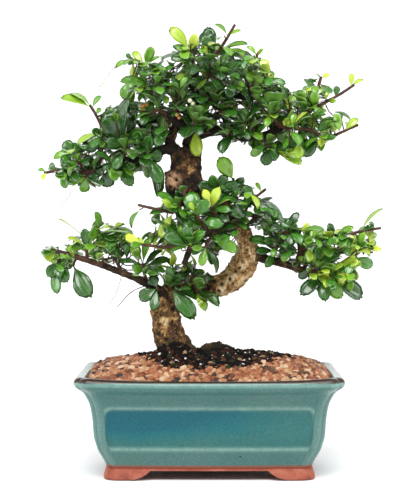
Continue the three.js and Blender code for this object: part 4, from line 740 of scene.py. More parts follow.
def loft(rings: Sequence[Array], joined: bool = False) -> tuple[Array, list[tuple[int, ...]]]:
    """A closed surface through rings of points.

    Args:
        rings: Rings with the same number of points.
        joined: Whether the last ring joins the first; the ends are capped otherwise.

    Returns:
        Its points and faces.
    """
    count, last = len(rings[0]), len(rings) if joined else len(rings) - 1
    faces: list[tuple[int, ...]] = []
    for ring in range(last):
        low, high = ring * count, (ring + 1) % len(rings) * count
        faces += [(low + i, low + (i + 1) % count, high + (i + 1) % count, high + i) for i in range(count)]
    if not joined:
        faces += [tuple(range(count))[::-1], tuple(range((len(rings) - 1) * count, len(rings) * count))]
    return np.concatenate(rings), faces


def soft_step(low: float, high: float, value: Array) -> Array:
    """A smooth step from 0 at low to 1 at high."""
    share = np.clip((np.asarray(value, float) - low) / (high - low), 0, 1)
    return share * share * (3 - 2 * share)


def cut_with(made: Object, cutters: Sequence[Object]) -> Object:
    """Cuts blocks out of an object, and removes them.

    Args:
        made: The object.
        cutters: Closed blocks.

    Returns:
        The cut object.
    """
    for cutter in cutters:
        cut = made.modifiers.new("cut", "BOOLEAN")
        cut.operation, cut.solver, cut.object = "DIFFERENCE", "EXACT", cutter
    made = settle(made)
    for cutter in cutters:
        bpy.data.objects.remove(cutter)
    for polygon in made.data.polygons:
        polygon.use_smooth = True
    sharp_edges(made.data, 35)
    return made


def sharp_edges(mesh: Mesh, degrees: float) -> None:
    """Shades edges sharp where their faces meet at more than an angle."""
    mesh.set_sharp_from_angle(angle=math.radians(degrees))


def dress(made: Object, look: Material) -> Object:
    """Gives a plain mesh object its one material.

    Args:
        made: The object.
        look: The material.

    Returns:
        The same object.
    """
    made.data.materials.clear()
    made.data.materials.append(look)
    return made


@dataclass
class Leaf:
    """One leaf: where it springs from, which way it runs and which way its upper face looks."""

    neck: Array
    along: Array
    length: float
    width: float
    facing: Array
    tone: float = 0.0


@dataclass(frozen=True)
class Shape:
    """A shape for the clearance test: its box, its edges and its triangles."""

    box: Array
    edges: Array
    triangles: Array


def shape_of(points: Array, faces: Sequence[tuple[int, int, int]]) -> Shape:
    """Makes a shape ready for the clearance test.

    Args:
        points: The points.
        faces: The triangles.

    Returns:
        The shape.
    """
    corners = np.array(faces)
    pairs = np.concatenate([corners[:, [0, 1]], corners[:, [1, 2]], corners[:, [2, 0]]])
    pairs = pairs[pairs[:, 0] < pairs[:, 1]]
    return Shape(np.concatenate([points.min(0), points.max(0)]), points[pairs], points[corners])


def pierced(edges: Array, triangles: Array) -> bool:
    """Whether any of the edges passes through any of the triangles.

    Args:
        edges: Ends of the edges.
        triangles: Corners of the triangles.

    Returns:
        Whether any edge does.
    """
    start, run = edges[:, None, 0], (edges[:, 1] - edges[:, 0])[:, None]
    corner = triangles[None, :, 0]
    side_b, side_c = (triangles[:, i] - triangles[:, 0] for i in (1, 2))
    p = np.cross(run, side_c[None])
    scale = (p * side_b).sum(-1)
    flat = np.abs(scale) < 1e-9
    scale = np.where(flat, 1.0, scale)
    offset = start - corner
    u = (offset * p).sum(-1) / scale
    q = np.cross(offset, side_b[None])
    v = (run * q).sum(-1) / scale
    t = (q * side_c).sum(-1) / scale
    return bool((~flat & (u >= 0) & (u <= 1) & (v >= 0) & (u + v <= 1) & (t >= 0) & (t <= 1)).any())


def meets(shape: Shape, others: Sequence[Shape]) -> bool:
    """Whether a shape crosses any of the others.

    Args:
        shape: The shape.
        others: The others.

    Returns:
        Whether it does.
    """
    if not others:
        return False
    triangles = np.concatenate([other.triangles for other in others])
    edges = np.concatenate([other.edges for other in others])
    return pierced(shape.edges, triangles) or pierced(edges, shape.triangles)


def length_of(vector: Array) -> float:
    """The length of a vector."""
    return math.sqrt(float(vector @ vector))


def unit(vector: Array) -> Array:
    """A vector at unit length."""
    return vector / length_of(vector)


def square_to(direction: Array, axis: Array) -> Array:
    """The part of a direction that stands square to an axis, at unit length."""
    return unit(direction - axis * float(direction @ axis))


def seeded_draws(seed: int) -> Callable[[], float]:
    """Seeded draws between 0 and 1, by the mulberry32 rule.

    Args:
        seed: The seed.

    Returns:
        What draws the next number.
    """
    whole = 0xFFFFFFFF
    state = seed

    def draw() -> float:
        """Draws the next number between 0 and 1.

        Returns:
            The number.
        """
        nonlocal state
        state = (state + 0x6D2B79F5) & whole
        mixed = (state ^ (state >> 15)) * (1 | state) & whole
        mixed = (mixed + ((mixed ^ (mixed >> 7)) * (61 | mixed) & whole) & whole) ^ mixed
        return ((mixed ^ (mixed >> 14)) & whole) / 4294967296

    return draw


def limb_rings(limb: Limb, grow: float = 0.0, steps: int = 1, sides: int = 0) -> list[Array]:
    """Rings of a tapering limb round the points of its route.

    Args:
        limb: The limb.
        grow: How much wider than the limb the rings are.
        steps: Rings for each span of the route; more than one follows a smooth curve.
        sides: Points in a ring, if not the limb's own number.

    Returns:
        One array of points for each ring.
    """
    sides = sides or limb.sides
    spots = [VIEW.point(point) for point in limb.route]
    ridged = limb.sides >= RIBBED_SIDES
    span = np.ptp(spots, axis=0)
    reference = np.eye(3)[int(np.argmin(span))]
    centres = smooth_path(spots, steps)
    radii = np.interp(np.linspace(0, len(spots) - 1, len(centres)), range(len(spots)), [r[3] for r in limb.route])
    angles = 2 * math.pi * np.arange(sides) / sides
    rings = []
    for i, (centre, radius) in enumerate(zip(centres, radii)):
        forward = unit(centres[min(i + 1, len(centres) - 1)] - centres[max(i - 1, 0)])
        across = unit(np.cross(reference, forward))
        upward = np.cross(forward, across)
        step = i / steps
        ribs = 1 + (RIB_DEPTH if ridged else 0) * (np.sin(3 * angles + 0.5 * step) + np.sin(2 * angles - 0.8 * step))
        reach = radius * ribs + grow / math.cos(math.pi / limb.sides)
        rings.append(centre + reach[:, None] * (np.cos(angles)[:, None] * across + np.sin(angles)[:, None] * upward))
    return rings


def twig_limb(points: Sequence[Row]) -> Limb:
    """A twig as a limb, its radius tapering from root to end unless its points give their own.

    Args:
        points: The twig's points.

    Returns:
        The limb.
    """
    last = len(points) - 1
    tapers = [TWIG_ROOT + (TWIG_END - TWIG_ROOT) * i / last for i in range(last + 1)]
    route = [(*p[:3], p[3] if len(p) > 3 else taper) for p, taper in zip(points, tapers)]
    return Limb(TWIG_SIDES, route)


def place_on_twig(points: Sequence[Row], share: float) -> Array:
    """The place inside a twig at a share of its run, a little short of its end at most.

    Args:
        points: The twig's points.
        share: The share of its run.

    Returns:
        The place.
    """
    place_ = min(share, NECK_DEPTH) * (len(points) - 1)
    before = min(math.floor(place_), len(points) - 2)
    start, end = VIEW.point(points[before]), VIEW.point(points[before + 1])
    return start + (end - start) * (place_ - before)


def leaf_from_view(neck: Array, tip: Array, seen_width: float) -> Leaf:
    """A leaf from its neck and tip, rolled until it is seen as wide as it should be.

    Args:
        neck: Where it springs from.
        tip: Where it ends.
        seen_width: Its width in millimetres as seen.

    Returns:
        The leaf.
    """
    length = length_of(tip - neck)
    along = (tip - neck) / length
    width = max(seen_width, SLIMMEST * length)
    to_viewer = square_to(np.array([0.0, -1.0, 0.0]), along)
    upward = np.cross(along, to_viewer)
    upward = -upward if upward[2] < 0 else upward
    facing = min(1.0, seen_width / width)
    return Leaf(neck, along, length, width, to_viewer * facing + upward * math.sqrt(1 - facing * facing))


def leaf_to_light(neck: Array, tip: Array) -> Leaf:
    """A leaf that holds its upper face to the light.

    Args:
        neck: Where it springs from.
        tip: Where it ends.

    Returns:
        The leaf.
    """
    length = length_of(tip - neck)
    along = (tip - neck) / length
    return Leaf(neck, along, length, 0.52 * length, square_to(np.array([0, -0.4, 1]), along))


def blade_shape(leaf: Leaf, outer_only: bool = False) -> Shape:
    """The solid blade of a leaf, a little swollen, for the clearance test.

    Args:
        leaf: The leaf.
        outer_only: Whether the half at its neck is left out.

    Returns:
        The shape.
    """
    outline = next(pairs for least, pairs in BLADE_OUTLINES if leaf.length >= least)
    half = BLADE_THICKNESS / 2 + CLEARANCE
    across = np.cross(leaf.along, leaf.facing)
    stations = [(0.0, None), *outline] if not outer_only else [(outline[0][0], None), *outline[1:]]
    points = []
    for share, wide in [*stations, (1 + CLEARANCE / leaf.length, None)]:
        bow = 2 * share - 1
        rise = ARCH * leaf.length * (1 - bow * bow)
        centre = leaf.neck + leaf.along * (share * leaf.length) + leaf.facing * rise
        face = unit(leaf.facing + leaf.along * (4 * ARCH * bow))
        reaches = [0.0] if wide is None else [wide * leaf.width + CLEARANCE, -wide * leaf.width - CLEARANCE]
        points += [centre + across * reach + face * side for reach in reaches for side in (half, -half)]
    return shape_of(np.array(points), blade_faces(len(stations) - 1))


def blade_faces(pairs: int) -> list[tuple[int, int, int]]:
    """Triangles of a blade whose pairs of edge points lie between a neck edge and a tip edge.

    Args:
        pairs: How many pairs of edge points it has.

    Returns:
        The triangles.
    """
    upper, rim = [(0, 2, 4)], [(0, 2)]
    for pair in range(1, pairs):
        right = 4 * pair - 2
        upper += [(right, right + 4, right + 2), (right + 2, right + 4, right + 6)]
        rim.append((right, right + 4))
    last = 4 * pairs - 2
    upper.append((last, last + 4, last + 2))
    rim += [(last, last + 4), (last + 4, last + 2)]
    rim += [(4 * pair + 4, 4 * pair) for pair in range(pairs - 1, 0, -1)] + [(4, 0)]
    under = [(a + 1, c + 1, b + 1) for a, b, c in upper]
    walls = [face for a, b in rim for face in ((b, a, a + 1), (b, a + 1, b + 1))]
    return upper + under + walls


class Thicket:
    """All the wood and leaves that a new leaf has to stay clear of."""

    def __init__(self) -> None:
        """Fills the thicket with the limbs and with every spray's twigs."""
        self.owners: list[str] = []
        self.boxes = np.zeros((0, 6))
        self.wholes: list[Shape] = []
        self.outers: list[Shape | None] = []
        for limb in LIMBS.values():
            self.add_wood("trunk", limb)
        for name, spray in SPRAYS.items():
            for points in spray.twigs:
                self.add_wood(name, twig_limb(points))

    def add_wood(self, owner: str, limb: Limb) -> None:
        """Adds the stretches of a limb between its neighbouring rings.

        Args:
            owner: The spray or trunk that it belongs to.
            limb: The limb.
        """
        rings = limb_rings(limb, GAP)
        for low, high in zip(rings, rings[1:]):
            count = len(low)
            turns = [(i, (i + 1) % count) for i in range(count)]
            sides = [f for i, j in turns for f in ((i, j, count + j), (i, count + j, count + i))]
            caps = [(0, i + 1, i) for i in range(1, count - 1)]
            caps += [(count, count + i, count + i + 1) for i in range(1, count - 1)]
            self.add(owner, shape_of(np.concatenate([low, high]), sides + caps), None)

    def add(self, owner: str, whole: Shape, outer: Shape | None) -> None:
        """Adds a shape under its owner's name.

        Args:
            owner: The spray or trunk that it belongs to.
            whole: The whole shape.
            outer: Its outer part, for a leaf.
        """
        self.owners.append(owner)
        self.boxes = np.vstack([self.boxes, whole.box])
        self.wholes.append(whole)
        self.outers.append(outer)

    def near(self, box: Array) -> Array:
        """The shapes whose boxes meet a box."""
        return np.nonzero(((self.boxes[:, :3] <= box[3:]) & (box[:3] <= self.boxes[:, 3:])).all(1))[0]

    def blocked(self, whole: Shape, outer: Shape, owner: str, strict: bool) -> bool:
        """Whether a leaf crosses other sprays' shapes, or its own spray's outer leaves.

        Args:
            whole: The whole blade.
            outer: Its outer part.
            owner: Its spray.
            strict: Whether its own spray's leaves count.

        Returns:
            Whether it is blocked.
        """
        close = self.near(whole.box)
        foreign = [self.wholes[i] for i in close if self.owners[i] != owner]
        if meets(whole, foreign):
            return True
        own = [self.outers[i] for i in close if self.owners[i] == owner and self.outers[i]]
        return strict and meets(outer, own)

    def grow(self, make: Callable, neck: Array, tip: Array, owner: str,
             bends: Sequence[Row] = BENDS, passes: Sequence[bool] = (True, False)) -> Leaf | None:
        """Grows one leaf clear of every other spray's wood and leaves, or gives it up.

        Args:
            make: Makes a leaf from its neck and tip.
            neck: Where the leaf springs from.
            tip: Where it should end.
            owner: The spray that it belongs to.
            bends: Ways in which it may bend clear: depth, height and share of its length.
            passes: Whether it keeps clear of its own spray's leaves, for each round of bends.

        Returns:
            The leaf, or None if no bend clears it.
        """
        for strict in passes:
            for depth, height, share in bends:
                aim = (tip + np.array([0.0, depth, height]) - neck) * share + neck
                leaf = make(neck, aim)
                whole = blade_shape(leaf)
                outer = blade_shape(leaf, leaf.length > SMALL_BLADE)
                if not self.blocked(whole, outer, owner, strict):
                    self.add(owner, whole, outer)
                    return leaf
        return None


def spiral_leaves(spray: Spray, count: int, reach: float, draw: Callable[[], float]) -> list[tuple[Array, ...]]:
    """Necks and tips of leaves that stand round a spray's twigs in a spiral, denser towards the ends.

    Args:
        spray: The spray.
        count: How many leaves.
        reach: Their usual length.
        draw: Draws between 0 and 1.

    Returns:
        The neck and tip of each.
    """
    ends = []
    for i in range(count):
        points = spray.twigs[i % len(spray.twigs)]
        share = 0.5 + 0.5 * math.sqrt((i + 1) / count)
        neck = place_on_twig(points, share)
        forward = unit(VIEW.point(points[-1]) - VIEW.point(points[0]))
        turn = SPIRAL_TURN * i + draw()
        lean = 0.9 + 0.5 * draw() - 0.6 * share
        across = square_to(np.array([0.0, 0.0, 1.0]), forward)
        beside = np.cross(forward, across)
        outward = across * math.cos(turn) + beside * math.sin(turn)
        heading = forward * math.cos(lean) + outward * math.sin(lean)
        ends.append((neck, neck + heading * reach * (0.8 + 0.4 * draw())))
    return ends


def grow_leaves() -> tuple[dict[str, list[Leaf]], list[list[Row]]]:
    """Grows the leaves of every spray: those of the solids first, then the smaller and further ones.

    Returns:
        The leaves of each spray, and the short shoots that carry some of them.
    """
    thicket, draw = Thicket(), seeded_draws(5)
    leaves: dict[str, list[Leaf]] = {name: [] for name in SPRAYS}

    def keep(name: str, leaf: Leaf | None, tone: float) -> None:
        """Keeps a leaf that found room.

        Args:
            name: The spray.
            leaf: The leaf, or none.
            tone: Its tone, from 0 for dark green to 3 for yellow.
        """
        if leaf:
            leaf.tone = tone
            leaves[name].append(leaf)

    def grow_drawn(name: str, rows: Iterable[Row]) -> None:
        """Grows the leaves that were read from the photograph.

        Args:
            name: The spray.
            rows: Its leaves.
        """
        for *twig, share, column, row, depth, width, tone in rows:
            def make(neck: Array, tip: Array) -> Leaf:
                """A leaf as wide as it is seen."""
                return leaf_from_view(neck, tip, width * VIEW.distance / VIEW.focal)

            tip = VIEW.point((column, row, depth + DEPTH_SPREAD * (draw() - 0.5)))
            neck = place_on_twig(SPRAYS[name].twigs[twig[0] if twig else 0], share)
            keep(name, thicket.grow(make, neck, tip, name), tone)

    for name, spray in SPRAYS.items():
        grow_drawn(name, spray.leaves)
    for name, spray in SPRAYS.items():
        if spray.more:
            for neck, tip in spiral_leaves(spray, spray.more[0], spray.more[1], draw):
                keep(name, thicket.grow(leaf_to_light, neck, tip, name), spray.more[2])
    for name, rows in SMALL_LEAVES.items():
        grow_drawn(name, rows)
    shoots = Shoots(thicket, leaves, draw)
    for name, spray in SPRAYS.items():
        for points in spray.twigs:
            shoots.along(name, points)
    owners, spots = twig_spots()
    for mass in MASSES.values():
        shoots.fill(mass, owners, spots)
    return leaves, shoots.made


def inside(outline: Sequence[Row], column: float, row: float) -> bool:
    """Whether a place of the front view lies inside an outline.

    Args:
        outline: The outline.
        column: The place's column.
        row: Its row.

    Returns:
        Whether it does.
    """
    hit = False
    for (x0, y0), (x1, y1) in zip(outline, [*outline[1:], outline[0]]):
        if (y0 > row) != (y1 > row) and column < x0 + (x1 - x0) * (row - y0) / (y1 - y0):
            hit = not hit
    return hit


def in_mass(spot: Array) -> bool:
    """Whether a point of the tree shows inside one of the leaf masses."""
    column, row = VIEW.seen(spot)
    return any(inside(mass.outline, column, row) for mass in MASSES.values())


def youth(spot: Array) -> float:
    """How much younger the leaves are at a point: more at the right-hand ends and on the low left branch.

    Args:
        spot: The point.

    Returns:
        What is added to their tone.
    """
    column, row = VIEW.seen(spot)
    right = YOUNG_RIGHT * float(soft_step(262, 310, column))
    return right + YOUNG_LEFT * float(1 - soft_step(110, 140, column)) * float(soft_step(205, 225, row))


@dataclass
class Shoots:
    """Grows short shoots, each with a tuft of leaves, on the twigs and into the leaf masses.

    Attributes:
        thicket: What the leaves have to stay clear of.
        leaves: The leaves of each spray, which the new ones join.
        draw: Draws between 0 and 1.
        made: The points of each shoot that carries leaves.
    """

    thicket: Thicket
    leaves: dict[str, list[Leaf]]
    draw: Callable[[], float]
    made: list[list[Array]] = field(default_factory=list)

    def along(self, name: str, points: Sequence[Row]) -> None:
        """Grows shoots along one of a spray's twigs.

        Args:
            name: The spray.
            points: The twig's points.
        """
        start, end = VIEW.point(points[0]), VIEW.point(points[-1])
        run = length_of(end - start)
        count = max(2, round(run / SHOOT_SPACING))
        for i in range(count):
            base = place_on_twig(points, 0.25 + 0.75 * (i + self.draw()) / count)
            spread = np.array([self.draw() - 0.5, 1.6 * (self.draw() - 0.5), self.draw() - 0.35])
            heading = unit(0.5 * (end - start) / run + 1.6 * spread)
            self.tuft(name, base, base + heading * (3 + 6 * self.draw()))

    def fill(self, mass: Mass, owners: list[str], spots: Array) -> None:
        """Grows shoots from the nearest twigs into the gaps of a leaf mass.

        Args:
            mass: The leaf mass.
            owners: The spray of each point of the twigs.
            spots: Points along the twigs.
        """
        low, high = np.min(mass.outline, 0), np.max(mass.outline, 0)
        for _ in range(mass.tries):
            column, row = low + (high - low) * (self.draw(), self.draw())
            depth = mass.depths[0] + (mass.depths[1] - mass.depths[0]) * self.draw()
            if not inside(mass.outline, column, row):
                continue
            tip = VIEW.point((column, row, depth))
            tips = np.array([shoot[-1] for shoot in self.made])
            if ((tips - tip) ** 2).sum(1).min() < SHOOT_CLEARANCE ** 2:
                continue
            reach = ((spots - tip) ** 2).sum(1)
            nearest = int(np.argmin(reach))
            if 2 < math.sqrt(reach[nearest]) < SHOOT_REACH:
                self.tuft(owners[nearest], spots[nearest], tip)

    def tuft(self, name: str, base: Array, tip: Array) -> None:
        """Grows one shoot from a base to a tip, if at least one of its leaves finds room.

        Args:
            name: The spray.
            base: Where the shoot leaves its twig.
            tip: Its end.
        """
        heading, draw, grown = unit(tip - base), self.draw, 0
        run = min(12, length_of(tip - base))
        tone = np.mean([leaf.tone for leaf in self.leaves[name][:9]] or [1])
        for k in range(TUFT):
            turn, lean = SPIRAL_TURN * k + 6 * draw(), 0.35 + 0.85 * draw()
            across = square_to(np.array([0.1, 0.0, 1.0]), heading)
            outward = across * math.cos(turn) + np.cross(heading, across) * math.sin(turn)
            neck = tip - heading * run * 0.5 * (1 - k / TUFT)
            reach = SHOOT_LEAF * (0.65 + 0.6 * draw())
            aim = neck + reach * (heading * math.cos(lean) + outward * math.sin(lean))
            leaf = in_mass(aim) and self.thicket.grow(leaf_to_light, neck, aim, name, BENDS[:3], (True,))
            if leaf:
                leaf.tone = min(3, max(0, tone - 0.5 + youth(aim) + 1.9 * draw() ** 2))
                self.leaves[name].append(leaf)
                grown += 1
        if grown:
            sag = np.array([0, 0, 0.12 * length_of(tip - base)])
            self.made.append([base, (base + tip) / 2 - sag, tip])


def twig_spots() -> tuple[list[str], Array]:
    """Points along all twigs, with the spray that each belongs to.

    Returns:
        The spray of each point, and the points.
    """
    owners, spots = [], []
    for name, spray in SPRAYS.items():
        for points in spray.twigs:
            for share in np.linspace(0, 1, 14):
                owners.append(name)
                spots.append(place_on_twig(points, share))
    return owners, np.array(spots)

@dataclass(frozen=True)
class Mottled:
    """A plain finish: tones that drift over the body, and a fine grain that breaks up the light.

    Attributes:
        name: The real finish.
        roughness: How matt it is.
        gleam: Its specular level.
        drift: Scale, detail and roughness of the drift of its tones.
        tones: Places and hex colours along the drift.
        grain: Scale, detail, roughness and depth in metres of its grain, if it has one.
    """

    name: str
    roughness: float
    gleam: float
    drift: Row
    tones: tuple[tuple[float, str], ...]
    grain: Row = ()

    def material(self) -> Material:
        """A dull surface in close tones.

        Returns:
            The material.
        """
        material, add, shader, place_ = new_material(
            self.name, roughness=self.roughness, specular_ior_level=self.gleam
        )
        drift, grain = (
            add("TexNoise", {"Vector": place_, "Scale": scale, "Detail": detail, "Roughness": rough})
            for scale, detail, rough in (self.drift, self.grain[:3] or self.drift)
        )
        wire(shader, {"Base Color": set_ramp(add("ValToRGB", drift), self.tones)})
        if self.grain:
            bump = add("Bump", {"Strength": 0.5, "Distance": self.grain[3], "Height": grain})
            wire(shader, {"Normal": bump})
        return material



def stem_path(route: Sequence[Row]) -> Array:
    """A smooth path with its radius, through points of column, row, depth and radius."""
    return smooth_path([(*VIEW.point(point), point[3]) for point in route], 6)


def stem_curves(name: str, paths: Iterable[Sequence[Row]]) -> Object:
    """Lays stems as curves that carry their radius.

    Args:
        name: The object's name.
        paths: Points of x, y, z and radius in millimetres, one list for each stem.

    Returns:
        The curve object, without a profile.
    """
    curve = bpy.data.curves.new(name, "CURVE")
    curve.dimensions = "3D"
    for path in paths:
        spline = curve.splines.new("POLY")
        spline.points.add(len(path) - 1)
        for point, (x, y, z, radius) in zip(spline.points, path):
            point.co = (*((np.array([x, y, z]) + POT_MIDDLE) * MM), 1)
            point.radius = radius * MM
    return link(name, curve)


def stem_tree() -> NodeTree:
    """Builds the tree that turns stems' curves into tubes with knots and a rough skin.

    Returns:
        The tree, with the tube's sides, its step and the depth of its knots as inputs.
    """
    add, given = new_tree("Stems", {"Sides": 8, "Step": 0.0012, "Knots": 0.15, "Seed": 4})
    spot = add("InputPosition")
    knots, skin = (
        add("TexNoise", {"Vector": spot, "W": given["Seed"], "Scale": scale, "Detail": detail}, noise_dimensions="4D")
        for scale, detail in ((320.0, 1.0), (900.0, 2.0))
    )
    evenly = add("ResampleCurve", {"Curve": given["Geometry"], "Length": given["Step"]}, mode="LENGTH")
    swing = add("ADD", knots, -0.5)
    deep = add("MULTIPLY", given["Knots"], 3.0)
    swell = add("MULTIPLY_ADD", swing, deep, 1.0)
    thick = add("MULTIPLY", ("InputRadius",), swell)
    ring = add("CurvePrimitiveCircle", {"Resolution": given["Sides"], "Radius": 1.0})
    kept = add("StoreNamedAttribute FLOAT", {"Geometry": evenly, "Name": "girth", "Value": thick})
    tube = add("CurveToMesh", {"Curve": kept, "Profile Curve": ring, "Scale": thick, "Fill Caps": True})
    level = add("ADD", skin, -0.5)
    depth = add("MULTIPLY", ("InputNamedAttribute FLOAT", {"Name": "girth"}), 0.35)
    push = add("MULTIPLY", level, depth)
    away = add("VectorMath SCALE", {0: ("InputNormal",), 3: push})
    rough = add("SetPosition", {"Geometry": tube, "Offset": away})
    return end_tree(given, add("SetShadeSmooth", rough))


@dataclass(frozen=True)
class WaxyLeaf:
    """Young to old leaves of Fukien tea: a thin green blade under a glossy cuticle."""

    dark: str = "#1b480f"
    middle: str = "#3c7a1a"
    bright: str = "#7bad2b"
    yellow: str = "#c2d342"
    underside: str = "#749a42"
    vein: str = "#7fa552"
    roughness: float = 0.27

    def material(self) -> Material:
        """A waxy leaf: greens by age, a pale midrib with soft side veins, a paler dull underside.

        Returns:
            The material.
        """
        material, add, shader, place_ = new_material(
            "Waxy leaf", roughness=self.roughness, ior=1.45, coat_weight=0.75, coat_roughness=0.13
        )
        tone, chance, under = (
            add("Attribute", attribute_name=label).outputs["Fac"] for label in ("tone", "chance", "underside")
        )
        along, across, _ = add("SeparateXYZ", add("Attribute", attribute_name="blade").outputs["Vector"]).outputs
        # Every leaf departs a little from its spray's age
        ramp = set_ramp(add("ValToRGB", ("MULTIPLY_ADD", chance, 0.22, tone)), [
            (0.0, self.dark), (0.38, self.middle), (0.72, self.bright), (1.0, self.yellow),
        ])
        from_rib = add("ABSOLUTE", across)
        rib = add("MapRange", from_rib, 0.1, 0.03)
        # Side veins leave the midrib forwards, about five on each half
        slant = add("MULTIPLY_ADD", from_rib, -0.28, along)
        beat = add("SINE", ("MULTIPLY", slant, 36.0))
        side = add("MULTIPLY", ("MapRange", beat, 0.8, 1.0), 0.35)
        veins = add("MAXIMUM", rib, side)
        share = add("MULTIPLY", veins, 0.22)
        upper = add("Mix RGBA", {0: share, 6: ramp, 7: linear(self.vein)})
        # Cells mottle the blade at about half a millimetre
        spots = add("TexNoise", {"Vector": place_, "Scale": 900.0, "Detail": 3.0})
        lit = add("VectorMath SCALE", {0: upper, 3: ("MapRange", spots, 0.0, 1.0, 0.82, 1.18)})
        below = add("Mix RGBA", {0: 0.4, 6: ramp, 7: linear(self.underside)})
        height = add("MULTIPLY_ADD", spots, 0.3, veins)
        wire(shader, {
            "Base Color": ("Mix RGBA", {0: under, 6: lit, 7: below}),
            "Roughness": ("MapRange", under, 0.0, 1.0, self.roughness, 0.45),
            "Normal": ("Bump", {"Strength": 0.35, "Distance": 0.0003, "Height": height}),
        })
        return material


@dataclass(frozen=True)
class BudSkin:
    """Thin satin skin of flower buds and young berries, cream when young, green and orange later."""

    cream: str = "#e9e2c8"
    green: str = "#8fae4c"
    orange: str = "#b9683a"

    def material(self) -> Material:
        """A satin skin whose colour follows the bud's ripeness.

        Returns:
            The material.
        """
        material, add, shader, place_ = new_material("Bud skin", roughness=0.45)
        ripeness = add("Attribute", attribute_name="ripeness").outputs["Fac"]
        bloom = add("TexNoise", {"Vector": place_, "Scale": 1200.0, "Detail": 3.0})
        ramp = set_ramp(add("ValToRGB", ("MULTIPLY_ADD", bloom, 0.4, ripeness)), [
            (0.2, self.cream), (0.65, self.green), (1.0, self.orange),
        ])
        wire(shader, {"Base Color": ramp})
        return material


